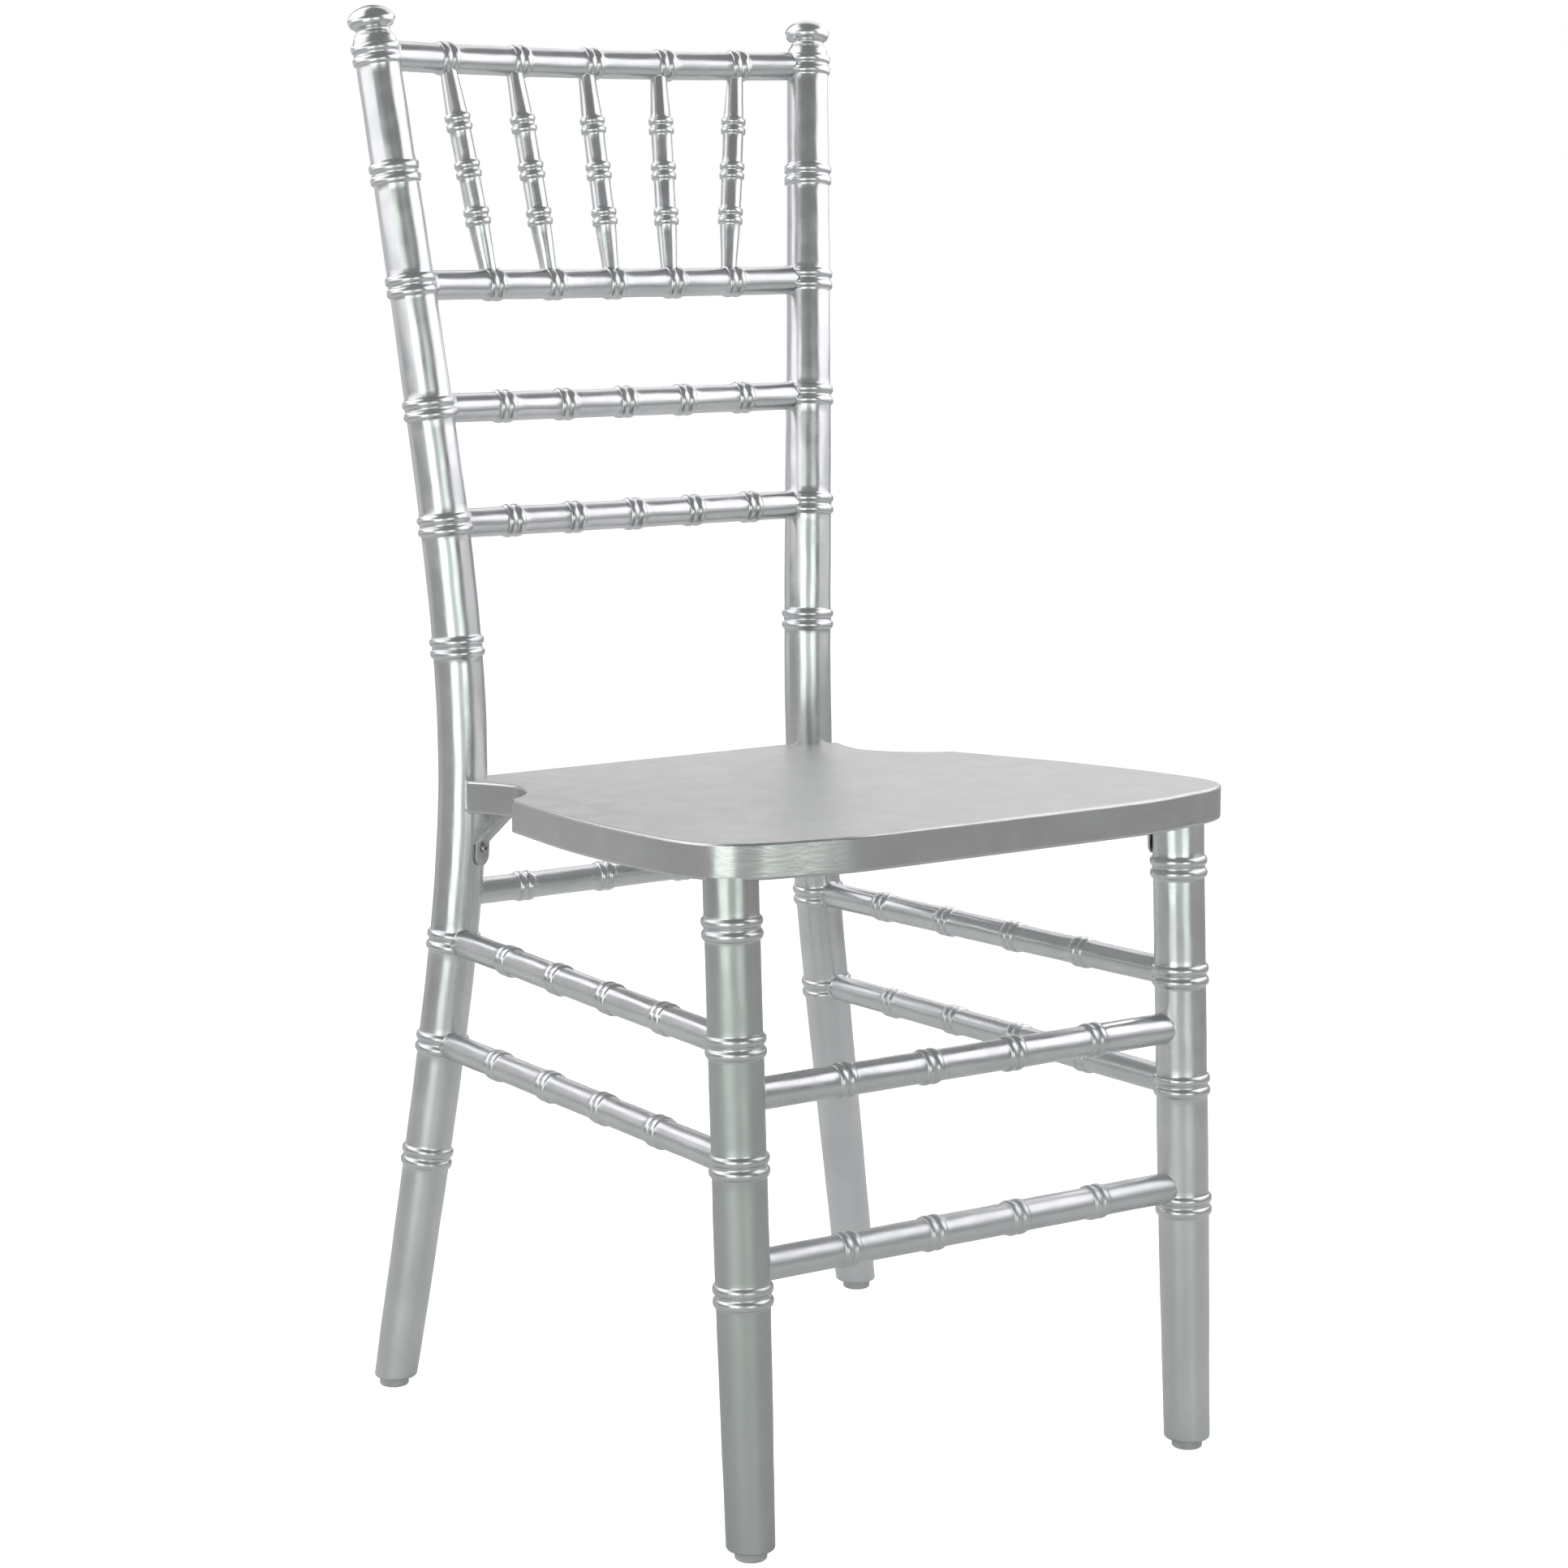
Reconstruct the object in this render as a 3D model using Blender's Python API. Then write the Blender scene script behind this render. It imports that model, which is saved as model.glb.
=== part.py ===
"""A silver Chiavari chair: turned posts, legs, rails and spindles around a solid seat.

Metres, +Z up.  The sitter faces -Y, -X is called left and +X right.
The origin is on the floor, under the middle of the chair.
"""
import math

import bmesh
import bpy
from mathutils import Vector

# ---------------------------------------------------------------- driving dimensions
HEIGHT = 0.9215                 # floor to the top of the finials
GAP = 0.0003                    # clearance between pieces that touch
GLIDE_HEIGHT = 0.006            # thickness of the foot glides
LEVEL_FOOT = (0.010, 0.045)     # a leg's sections are level below, square to it above

# Back posts: two straight runs joined by a soft bend, in the front view and the side view.
# Each view is (offset at the bend, height of the bend, slope below, slope above, softness).
POST_FRONT_VIEW = (0.1413, 0.410, -0.160, 0.090, 0.120)
POST_SIDE_VIEW = (0.1676, 0.471, -0.059, 0.144, 0.200)
POST_RADIUS = 0.0164            # at its thickest, about seat height
POST_END_RADIUS = 0.0144        # at the foot and under the finial
POST_THICKEST_Z = 0.450
POST_RINGS = (0.1585, 0.236, 0.3055, 0.5035, 0.5845, 0.6605, 0.741, 0.8135, 0.890)

# Front legs: straight, leaning forward a little towards the floor.
LEG_X = 0.1704
LEG_Y_AT_SEAT = -0.1994
LEG_LEAN = 0.049                # how far Y moves back for each metre of height
LEG_SEAT_Z = 0.430
LEG_RADIUS = 0.0164
LEG_FOOT_RADIUS = 0.0147
LEG_RINGS = (0.1605, 0.2385, 0.3095, 0.379)

# Seat: one plank, falling towards the back.
SEAT_TOP_Z = 0.430              # at the front legs
SEAT_SLOPE = -0.038
SEAT_THICKNESS = 0.022
SEAT_EASE = 0.002               # rounding of its edges
SEAT_DRIFT = 0.009              # the plank's front sits this far right of the chair's middle
# Right half of the outline before the drift, from the rear edge round to the front edge.
SEAT_REAR_Y = 0.162
SEAT_NECK = ((0.146, 0.162), (0.146, 0.152), (0.1515, 0.1435), (0.146, 0.130),
             (0.1415, 0.115), (0.1392, 0.102))
SEAT_NOTCH_DEPTH = 0.008
SEAT_SIDE = ((0.1762, 0.0455), (0.184, 0.006), (0.1935, -0.045), (0.1995, -0.100),
             (0.2015, -0.150), (0.1995, -0.186), (0.190, -0.209), (0.172, -0.2220),
             (0.150, -0.2285), (0.130, -0.2335), (0.110, -0.2368), (0.080, -0.2375))

# Turned rings come in pairs of beads.
POST_BEADS = (0.0078, 0.0019)   # (distance between the pair, height of a bead)
RAIL_BEADS = (0.0074, 0.0014)
SPINDLE_BEADS = (0.0066, 0.0016)

# Cross pieces.
RAIL_RADIUS = 0.0097
FRONT_STRETCHER_RADIUS = 0.0098
SIDE_STRETCHER_RADIUS = 0.0090
TENON_RADIUS = 0.0055
HOUSING = 0.008                 # from a post's axis to the shoulder of what enters it
SOCKET_CLEARANCE = 0.006        # how far a socket's cutter sticks out of the turned surface
RAIL_BOWS = {"top_rail": (8, 0.013), "spindle_rail": (6, 0.006),
             "middle_rail": (5, 0.003), "lower_rail": (4, 0.0)}
TOP_RAIL_RING_PITCH = 0.058
RAIL_RING_PITCH = 0.048
# Height of each front stretcher where it meets the left leg and the right leg.
FRONT_STRETCHERS = {"front_stretcher_upper": (0.2785, 0.2760),
                    "front_stretcher_lower": (0.1757, 0.1725)}
FRONT_RING_PITCH = 0.064
SIDE_STRETCHERS = {"upper": 2, "lower": 1}      # index of the ring that each one enters
SIDE_RING_PITCH = 0.0685
# How far each side stretcher's row of rings sits in front of its middle.
SIDE_RING_SHIFTS = {"left_upper": 0.001, "left_lower": -0.0035,
                    "right_upper": -0.0065, "right_lower": -0.006}
REAR_STRETCHER_Z = 0.337

# Spindles between the top rail and the spindle rail.
SPINDLE_END_RADIUS = 0.0056
SPINDLE_RADIUS = 0.0073
SPINDLE_RINGS = (0.27, 0.49, 0.71)
# How far to the right of the rails' rings the holes for the spindles are drilled.
SPINDLE_TOP_OFFSETS = (0, -0.0045, -0.0045, -0.0045, -0.001)
SPINDLE_LOW_OFFSETS = (-0.001, -0.0013, 0, -0.002, -0.0025)
SPINDLE_HOUSING = 0.004         # from a rail's axis to the end of a spindle

# Corner brackets: straps from the seat's underside that slant down to a leg, with a web
# across the outer side of the corner.
BRACKET_THICKNESS = 0.0016
BRACKET_WIDTH = 0.0145
BRACKET_HEIGHT = 0.395          # about where a bracket meets its leg
BRACKET_SEAT_TAB = 0.018
BRACKET_SLANT = {"front": 0.006, "back": 0.0205}    # both across and down
BRACKET_LEG_TAB = {"front": 0.0148, "back": 0.0160}
BRACKET_TURN = math.radians(25)  # how far each bracket turns in towards the middle
SCREW_HEAD_RADIUS = 0.0030
SCREW_HEAD_HEIGHT = 0.0020
SCREW_RADIUS = 0.0016
SCREW_LENGTH = 0.012
SEAT_SCREW_INSET = 0.0085       # from the seat tab's end to its screw
LEG_SCREW_INSET = {"front": 0.0075, "back": 0.0118}

# Foot glides, each on its own nail, and the dowels on top of the front legs.
GLIDE_RADIUS = 0.0098
GLIDE_WELL_RADIUS = 0.0038      # sunk around the nail's head
GLIDE_WELL_DEPTH = 0.0025
NAIL_RADIUS = 0.0014
NAIL_HEAD = (0.0009, 0.0022, 0.0035)    # its bottom, its top and its radius
NAIL_LENGTH = 0.020
DOWEL_RADIUS = 0.009
DOWEL_LENGTH = 0.014

POST_SIDES = 12
RAIL_SIDES = 8
SPINDLE_SIDES = 8
SCREW_SIDES = 6

SILVER = ((0.62, 0.64, 0.63), 0.32, 0.85)
STEEL = ((0.55, 0.56, 0.56), 0.35, 1.0)
PLASTIC = ((0.42, 0.43, 0.43), 0.55, 0.0)


# ---------------------------------------------------------------- scene helpers
def clear_scene():
    for item in list(bpy.data.objects):
        bpy.data.objects.remove(item, do_unlink=True)


def finish_of(name, look):
    colour, roughness, metallic = look
    material = bpy.data.materials.new(name)
    material.use_nodes = True
    shader = material.node_tree.nodes["Principled BSDF"]
    shader.inputs["Base Color"].default_value = (*colour, 1.0)
    shader.inputs["Roughness"].default_value = roughness
    shader.inputs["Metallic"].default_value = metallic
    return material


def add_object(name, bm, look=None):
    """Turn a bmesh into a linked object; one without a look is a hidden cutter."""
    bmesh.ops.recalc_face_normals(bm, faces=bm.faces)
    mesh = bpy.data.meshes.new(name)
    bm.to_mesh(mesh)
    bm.free()
    mesh.shade_smooth()
    mesh.set_sharp_from_angle(angle=math.radians(40))
    item = bpy.data.objects.new(name, mesh)
    bpy.context.scene.collection.objects.link(item)
    if look is None:
        item.hide_render = True
        item.display_type = "WIRE"
    else:
        mesh.materials.append(finish_of(name, look))
    return item


def add_boolean(item, other, operation):
    modifier = item.modifiers.new(operation.lower(), "BOOLEAN")
    modifier.object = other
    modifier.operation = operation
    modifier.solver = "EXACT"


# ---------------------------------------------------------------- shapes
def bend(z, offset, bend_z, slope_below, slope_above, softness):
    """Offset at height z of a line that changes slope softly at bend_z."""
    rise = z - bend_z
    mean = (slope_below + slope_above) / 2
    half_change = (slope_above - slope_below) / 2
    return offset + mean * rise + half_change * (math.hypot(rise, softness) - softness)


def post_axis(side):
    def point(z):
        return Vector((side * bend(z, *POST_FRONT_VIEW), bend(z, *POST_SIDE_VIEW), z))
    return point


def leg_axis(side):
    def point(z):
        return Vector((side * LEG_X, LEG_Y_AT_SEAT + LEG_LEAN * (z - LEG_SEAT_Z), z))
    return point


def straight_axis(start, end):
    direction = (end - start).normalized()

    def point(distance):
        return start + direction * distance
    return point


def bowed_axis(start, end, bow):
    """A path from start to end that leans back by the vector bow at its middle."""
    length = (end - start).length

    def point(distance):
        t = distance / length
        return start.lerp(end, t) + bow * (4 * t * (1 - t))
    return point


def turn(profile, axis, sides, bm=None, level_foot=False):
    """Sweep a turned profile, a list of (distance, radius), along an axis; ends are closed.

    The sections are square to the axis.  With level_foot they come level near distance 0,
    as the foot of a leaning leg does, which is sawn to stand flat.
    """
    bm = bm or bmesh.new()
    loops = []
    for distance, radius in profile:
        step = 0.0005
        tangent = (axis(distance + step) - axis(distance - step)).normalized()
        if level_foot:
            low, high = LEVEL_FOOT
            squareness = min(1, max(0, (distance - low) / (high - low)))
            tangent = Vector((0, 0, 1)).lerp(tangent, squareness)
        turn_to = Vector((0, 0, 1)).rotation_difference(tangent).to_matrix()
        loop = []
        for k in range(sides):
            angle = 2 * math.pi * (k + 0.5) / sides
            spoke = Vector((radius * math.cos(angle), radius * math.sin(angle), 0))
            loop.append(bm.verts.new(axis(distance) + turn_to @ spoke))
        loops.append(loop)
    for lower, upper in zip(loops, loops[1:]):
        for k in range(sides):
            bm.faces.new((lower[k], lower[k - 1], upper[k - 1], upper[k]))
    bm.faces.new(loops[0])
    bm.faces.new(loops[-1][::-1])
    return bm


def ring_pair(centre, radius_at, beads):
    """Profile points of two beads side by side, with a valley between them."""
    pitch, height = beads
    points = [(centre - pitch, radius_at(centre - pitch)),
              (centre - pitch / 2, radius_at(centre) + height),
              (centre, radius_at(centre) + height * 0.25),
              (centre + pitch / 2, radius_at(centre) + height),
              (centre + pitch, radius_at(centre + pitch))]
    return points


def ringed_profile(start, end, rings, radius_at, beads, plain_stations=()):
    """Profile points from start to end, with a pair of beads at each ring."""
    points = [(start, radius_at(start)), (end, radius_at(end))]
    points += [(s, radius_at(s)) for s in plain_stations]
    for centre in rings:
        points += ring_pair(centre, radius_at, beads)
    return sorted(points)


def prism(outline, low, high, place):
    """Closed solid between two copies of a flat outline, each point placed by a function."""
    bm = bmesh.new()
    bottom = [bm.verts.new(place(a, b, low)) for a, b in outline]
    top = [bm.verts.new(place(a, b, high)) for a, b in outline]
    bm.faces.new(bottom[::-1])
    bm.faces.new(top)
    for k in range(len(outline)):
        bm.faces.new((bottom[k - 1], bottom[k], top[k], top[k - 1]))
    return bm


# ---------------------------------------------------------------- posts and legs
def post_radius(z):
    fall = (z - POST_THICKEST_Z) / POST_THICKEST_Z
    return POST_RADIUS - (POST_RADIUS - POST_END_RADIUS) * fall * fall


def leg_radius(z):
    return LEG_FOOT_RADIUS + (LEG_RADIUS - LEG_FOOT_RADIUS) * min(1, z / LEG_RINGS[0])


def foot_profile(radius_at):
    """The chamfered bottom end, just clear of its glide."""
    start = GLIDE_HEIGHT + GAP
    return [(start, radius_at(0) - 0.0016)], start + 0.0014


def finial_profile():
    """The waist and button above the top ring."""
    return [(HEIGHT - 0.0195, 0.0139), (HEIGHT - 0.0140, 0.0119), (HEIGHT - 0.0115, 0.0134),
            (HEIGHT - 0.0088, 0.0155), (HEIGHT - 0.0045, 0.0133), (HEIGHT - 0.0016, 0.0075),
            (HEIGHT - 0.0005, 0.0025)]


def make_back_post(side):
    foot, start = foot_profile(post_radius)
    bends = [0.05, 0.10, 0.27, 0.345, 0.385, 0.425, 0.465, 0.545, 0.62, 0.78]
    body = ringed_profile(start, POST_RINGS[-1] + POST_BEADS[0] + 0.0005, POST_RINGS,
                          post_radius, POST_BEADS, bends)
    return turn(foot + body + finial_profile(), post_axis(side), POST_SIDES,
                level_foot=True)


def seat_underside_z(y):
    return SEAT_TOP_Z - SEAT_THICKNESS + SEAT_SLOPE * (y - LEG_Y_AT_SEAT)


def leg_top_z():
    """Height of a front leg's shoulder, just under the seat."""
    return seat_underside_z(LEG_Y_AT_SEAT) - GAP - 0.0003


def make_front_leg(side):
    foot, start = foot_profile(leg_radius)
    top = leg_top_z()
    body = ringed_profile(start, top, LEG_RINGS, leg_radius, POST_BEADS)
    dowel = [(top + 0.0001, DOWEL_RADIUS), (top + DOWEL_LENGTH, DOWEL_RADIUS)]
    return turn(foot + body + dowel, leg_axis(side), POST_SIDES, level_foot=True)


# ---------------------------------------------------------------- cross pieces
def cross_piece_profile(length, radius, rings):
    """A rail between two axes that are length apart, tenoned at both ends."""
    def radius_at(_):
        return radius
    body = ringed_profile(HOUSING, length - HOUSING, rings, radius_at, RAIL_BEADS)
    near = [(0, TENON_RADIUS), (HOUSING - 0.0001, TENON_RADIUS)]
    far = [(length - s, r) for s, r in reversed(near)]
    return near + body + far


class CrossPiece:
    """A turned rail or stretcher and the sockets that it needs in its two neighbours."""

    def __init__(self, name, start, end, radius, ring_offsets, hosts, bow=0.0):
        self.name = name
        self.length = (end - start).length
        self.radius = radius
        self.hosts = hosts
        self.rings = [self.length / 2 + offset for offset in ring_offsets]
        self.axis = bowed_axis(start, end, self.bow_vector(start, bow))

    @staticmethod
    def bow_vector(start, bow):
        """Back and square to the posts, which lean back at this height."""
        if not bow:
            return Vector((0, 0, 0))
        rise = post_axis(1)(start.z + 0.01) - post_axis(1)(start.z - 0.01)
        return Vector((0, rise.z, -rise.y)).normalized() * bow

    def solid(self):
        profile = cross_piece_profile(self.length, self.radius, self.rings)
        return turn(profile, self.axis, RAIL_SIDES)

    def sockets(self, bm_by_host):
        """Add the two end sockets to the cutters of the neighbours."""
        reach = POST_RADIUS + SOCKET_CLEARANCE
        tenon = TENON_RADIUS + GAP
        wide = self.radius + GAP
        shoulder = HOUSING - GAP
        near = [(-GAP, tenon), (shoulder, tenon), (shoulder + 0.0001, wide), (reach, wide)]
        far = [(self.length - s, r) for s, r in reversed(near)]
        turn(near, self.axis, RAIL_SIDES, bm_by_host[self.hosts[0]])
        turn(far, self.axis, RAIL_SIDES, bm_by_host[self.hosts[1]])


def ring_row(count, pitch):
    return [pitch * (k - (count - 1) / 2) for k in range(count)]


def cross_pieces():
    pieces = []
    left_post, right_post = post_axis(-1), post_axis(1)
    left_leg, right_leg = leg_axis(-1), leg_axis(1)
    posts = ("back_post_left", "back_post_right")
    for name, (ring, bow) in RAIL_BOWS.items():
        z = POST_RINGS[ring]
        pitch = TOP_RAIL_RING_PITCH if name == "top_rail" else RAIL_RING_PITCH
        pieces.append(CrossPiece(name, left_post(z), right_post(z), RAIL_RADIUS,
                                 ring_row(5, pitch), posts, bow))
    z = REAR_STRETCHER_Z
    pieces.append(CrossPiece("rear_stretcher", left_post(z), right_post(z),
                             SIDE_STRETCHER_RADIUS, ring_row(4, FRONT_RING_PITCH), posts))
    for name, (left_z, right_z) in FRONT_STRETCHERS.items():
        pieces.append(CrossPiece(name, left_leg(left_z), right_leg(right_z),
                                 FRONT_STRETCHER_RADIUS, ring_row(4, FRONT_RING_PITCH),
                                 ("front_leg_left", "front_leg_right")))
    for side, word in ((-1, "left"), (1, "right")):
        for level, ring in SIDE_STRETCHERS.items():
            start = post_axis(side)(POST_RINGS[ring])
            end = leg_axis(side)(LEG_RINGS[ring])
            shift = SIDE_RING_SHIFTS[f"{word}_{level}"]
            rings = [offset + shift for offset in ring_row(4, SIDE_RING_PITCH)]
            pieces.append(CrossPiece(f"side_stretcher_{word}_{level}", start, end,
                                     SIDE_STRETCHER_RADIUS, rings,
                                     (f"back_post_{word}", f"front_leg_{word}")))
    return pieces


def spindle_axes(top_rail, spindle_rail):
    """Both ends of each spindle's axis, near the rings of the two rails."""
    tops = [top_rail.axis(ring + offset)
            for ring, offset in zip(top_rail.rings, SPINDLE_TOP_OFFSETS)]
    lows = [spindle_rail.axis(ring + offset)
            for ring, offset in zip(spindle_rail.rings, SPINDLE_LOW_OFFSETS)]
    return list(zip(lows, tops))


def spindle_profile(length):
    """Slim ends, a fuller middle and three rings."""
    start, end = SPINDLE_HOUSING, length - SPINDLE_HOUSING
    rings = [length * (1 - part) for part in SPINDLE_RINGS]

    def radius_at(s):
        swell = min(1, min(s - start, end - s) / (rings[-1] - start))
        return SPINDLE_END_RADIUS + (SPINDLE_RADIUS - SPINDLE_END_RADIUS) * swell
    return ringed_profile(start, end, rings, radius_at, SPINDLE_BEADS)


# ---------------------------------------------------------------- seat
def bulged_points(start, end, bulge, count):
    """Points between start and end, on a line that bows to its right by bulge."""
    start, end = Vector(start), Vector(end)
    chord = end - start
    normal = Vector((chord.y, -chord.x)).normalized()
    inner = [k / count for k in range(1, count)]
    return [tuple(start.lerp(end, t) + normal * (4 * t * (1 - t) * bulge)) for t in inner]


def smooth_points(points, steps):
    """A Catmull-Rom curve through the points, with some steps between each two."""
    path = [Vector(p) for p in points]
    path = [2 * path[0] - path[1], *path, 2 * path[-1] - path[-2]]
    curve = []
    for a, b, c, d in zip(path, path[1:], path[2:], path[3:]):
        for k in range(steps):
            t = k / steps
            curve.append(tuple(0.5 * (2 * b + (c - a) * t + (2 * a - 5 * b + 4 * c - d) * t * t
                                      + (3 * b - a - 3 * c + d) * t * t * t)))
    curve.append(tuple(points[-1]))
    return curve


def seat_outline():
    """Outline of the plank seen from above, clockwise from the right of its rear edge."""
    neck = [*SEAT_NECK[:2], *smooth_points(SEAT_NECK[2:], 2)]
    notch = bulged_points(SEAT_NECK[-1], SEAT_SIDE[0], SEAT_NOTCH_DEPTH, 6)
    right = [*neck, *notch, *smooth_points(SEAT_SIDE, 2)]
    left = [(-x, y) for x, y in reversed(right)]
    depth = SEAT_REAR_Y - SEAT_SIDE[-1][1]
    return [(x + SEAT_DRIFT * (SEAT_REAR_Y - y) / depth, y) for x, y in right + left]


def seat_point(x, y, level):
    """A point of the sloping seat: level is measured down from its top face."""
    top = SEAT_TOP_Z + SEAT_SLOPE * (y - LEG_Y_AT_SEAT)
    return Vector((x, y, top - level))


def make_seat(cutter):
    bm = prism(seat_outline(), 0, SEAT_THICKNESS, seat_point)
    seat = add_object("seat", bm, SILVER)
    ease = seat.modifiers.new("eased edges", "BEVEL")
    ease.width = SEAT_EASE
    ease.segments = 2
    ease.limit_method = "ANGLE"
    ease.angle_limit = math.radians(50)
    add_boolean(seat, cutter, "DIFFERENCE")
    return seat


# ---------------------------------------------------------------- brackets, screws, glides
class Corner:
    """Where a bracket sits: its leg, its directions and its two screws."""

    def __init__(self, row, side):
        word = "left" if side < 0 else "right"
        self.name = f"{row}_{word}"
        self.host = f"back_post_{word}" if row == "back" else f"front_leg_{word}"
        self.slant = BRACKET_SLANT[row]
        self.drop = self.slant + BRACKET_LEG_TAB[row]
        self.reach = self.slant + BRACKET_SEAT_TAB
        axis = post_axis(side) if row == "back" else leg_axis(side)
        radius = (post_radius if row == "back" else leg_radius)(BRACKET_HEIGHT)
        self.leg_inset = LEG_SCREW_INSET[row]
        ahead = -1 if row == "back" else 1
        self.outer = -side * ahead
        out = Vector((-side * math.sin(BRACKET_TURN), ahead * math.cos(BRACKET_TURN), 0))
        start = axis(BRACKET_HEIGHT) + out * (radius + 2 * GAP)
        start.z = seat_underside_z(start.y) - 2 * GAP
        self.origin = start
        self.along = Vector((out.x, out.y, SEAT_SLOPE * out.y)).normalized()
        self.across = Vector((-out.y, out.x, SEAT_SLOPE * out.x)).normalized()
        self.down = (axis(start.z - self.drop) - axis(start.z)).normalized()

    def place(self, a, b, c):
        return self.origin + self.along * a + self.down * b + self.across * c

    def screw_axes(self):
        """(head centre, direction into the wood) of the leg screw and the seat screw."""
        leg = self.place(BRACKET_THICKNESS + GAP, self.drop - self.leg_inset, 0)
        seat = self.place(self.reach - SEAT_SCREW_INSET, BRACKET_THICKNESS + GAP, 0)
        return {"leg": (leg, -self.along), "seat": (seat, -self.down)}


def bracket_strap(corner):
    """A bent strap: a tab under the seat, a slanted run and a tab on the leg."""
    thick, reach, drop, slant = BRACKET_THICKNESS, corner.reach, corner.drop, corner.slant
    knee = thick * math.tan(math.radians(22.5))
    outline = [(reach, 0), (slant, 0), (0, slant), (0, drop), (thick, drop),
               (thick, slant + knee), (slant + knee, thick), (reach, thick)]
    half = BRACKET_WIDTH / 2
    bm = prism(outline, -half, half, lambda a, b, c: Vector((a, b, c)))
    ends = []
    for edge in bm.edges:
        a, b = edge.verts
        through = abs(a.co.z - b.co.z) < 1e-6
        at_drop = min(a.co.y, b.co.y) > drop - 1e-6
        at_reach = min(a.co.x, b.co.x) > reach - 1e-6
        if through and (at_drop or at_reach):
            ends.append(edge)
    bmesh.ops.bevel(bm, geom=ends, offset=half * 0.9, segments=4, profile=0.5,
                    affect="EDGES", clamp_overlap=False)
    for vert in bm.verts:
        vert.co = corner.place(*vert.co)
    return bm


def bracket_web(corner):
    """A triangle of sheet that fills the strap's corner on its outer side."""
    inset = 0.0002
    leg = corner.slant + BRACKET_THICKNESS / 2
    outline = [(inset, inset), (inset, leg), (leg, inset)]
    edge = BRACKET_WIDTH / 2 - inset
    low, high = sorted((corner.outer * edge, corner.outer * (edge - BRACKET_THICKNESS)))
    return prism(outline, low, high, corner.place)


def screw_profile():
    """Pan head, shank and point, measured from the underside of the head."""
    head, shank = SCREW_HEAD_RADIUS, SCREW_RADIUS
    return [(-SCREW_HEAD_HEIGHT, head * 0.55), (-SCREW_HEAD_HEIGHT * 0.6, head),
            (0, head), (0.0001, shank), (SCREW_LENGTH - 0.003, shank),
            (SCREW_LENGTH, shank * 0.3)]


def pilot_profile():
    """The hole that a screw's shank turns in."""
    shank = SCREW_RADIUS + GAP
    return [(-BRACKET_THICKNESS - 0.001, shank), (SCREW_LENGTH + 2 * GAP, shank)]


def make_brackets(bm_by_host):
    for row in ("front", "back"):
        for side in (-1, 1):
            corner = Corner(row, side)
            bracket = add_object(f"bracket_{corner.name}", bracket_strap(corner), STEEL)
            web = add_object(f"cutter_web_{corner.name}", bracket_web(corner))
            add_boolean(bracket, web, "UNION")
            holes = bmesh.new()
            for part, (head, into) in corner.screw_axes().items():
                axis = straight_axis(head, head + into)
                screw = turn(screw_profile(), axis, SCREW_SIDES)
                add_object(f"screw_{part}_{corner.name}", screw, STEEL)
                turn(pilot_profile(), axis, SCREW_SIDES, holes)
                host = corner.host if part == "leg" else "seat"
                turn(pilot_profile(), axis, SCREW_SIDES, bm_by_host[host])
            add_boolean(bracket, add_object(f"cutter_holes_{corner.name}", holes), "DIFFERENCE")


def glide_profile():
    ease = 0.0012
    return [(0, GLIDE_RADIUS - ease), (ease, GLIDE_RADIUS), (GLIDE_HEIGHT, GLIDE_RADIUS)]


def nail_profile():
    bottom, top, radius = NAIL_HEAD
    ease = 0.0004
    return [(bottom, radius * 0.7), (bottom + ease, radius), (top, radius),
            (top + 0.0001, NAIL_RADIUS), (NAIL_LENGTH - 0.002, NAIL_RADIUS),
            (NAIL_LENGTH, NAIL_RADIUS * 0.4)]


def make_glides(bm_by_host):
    """A flat glide under each foot, held by its own nail."""
    hole = NAIL_RADIUS + GAP
    well_profile = [(-0.001, GLIDE_WELL_RADIUS), (GLIDE_WELL_DEPTH, GLIDE_WELL_RADIUS),
                    (GLIDE_WELL_DEPTH + 0.0001, hole), (GLIDE_HEIGHT + 0.001, hole)]
    pilot = [(GLIDE_HEIGHT - 0.001, hole), (NAIL_LENGTH + 2 * GAP, hole)]
    for row, axis_of, upright in (("front", leg_axis, "front_leg"),
                                  ("back", post_axis, "back_post")):
        for side, word in ((-1, "left"), (1, "right")):
            foot = axis_of(side)(0)
            axis = straight_axis(foot, foot + Vector((0, 0, 1)))
            glide = add_object(f"glide_{row}_{word}",
                               turn(glide_profile(), axis, POST_SIDES), PLASTIC)
            well = add_object(f"cutter_glide_{row}_{word}",
                              turn(well_profile, axis, SCREW_SIDES))
            add_boolean(glide, well, "DIFFERENCE")
            turn(pilot, axis, SCREW_SIDES, bm_by_host[f"{upright}_{word}"])
            nail = turn(nail_profile(), axis, SCREW_SIDES)
            add_object(f"glide_nail_{row}_{word}", nail, STEEL)


# ---------------------------------------------------------------- assembly
def make_spindles(pieces, bm_by_host):
    by_name = {piece.name: piece for piece in pieces}
    axes = spindle_axes(by_name["top_rail"], by_name["spindle_rail"])
    for number, (low, top) in enumerate(axes, start=1):
        length = (top - low).length
        axis = straight_axis(low, top)
        bm = turn(spindle_profile(length), axis, SPINDLE_SIDES)
        add_object(f"spindle_{number}", bm, SILVER)
        hole = SPINDLE_END_RADIUS + GAP
        near, far = SPINDLE_HOUSING - GAP, RAIL_RADIUS + SOCKET_CLEARANCE
        turn([(near, hole), (far, hole)], axis, SPINDLE_SIDES, bm_by_host["spindle_rail"])
        turn([(length - far, hole), (length - near, hole)], axis, SPINDLE_SIDES,
             bm_by_host["top_rail"])


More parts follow.
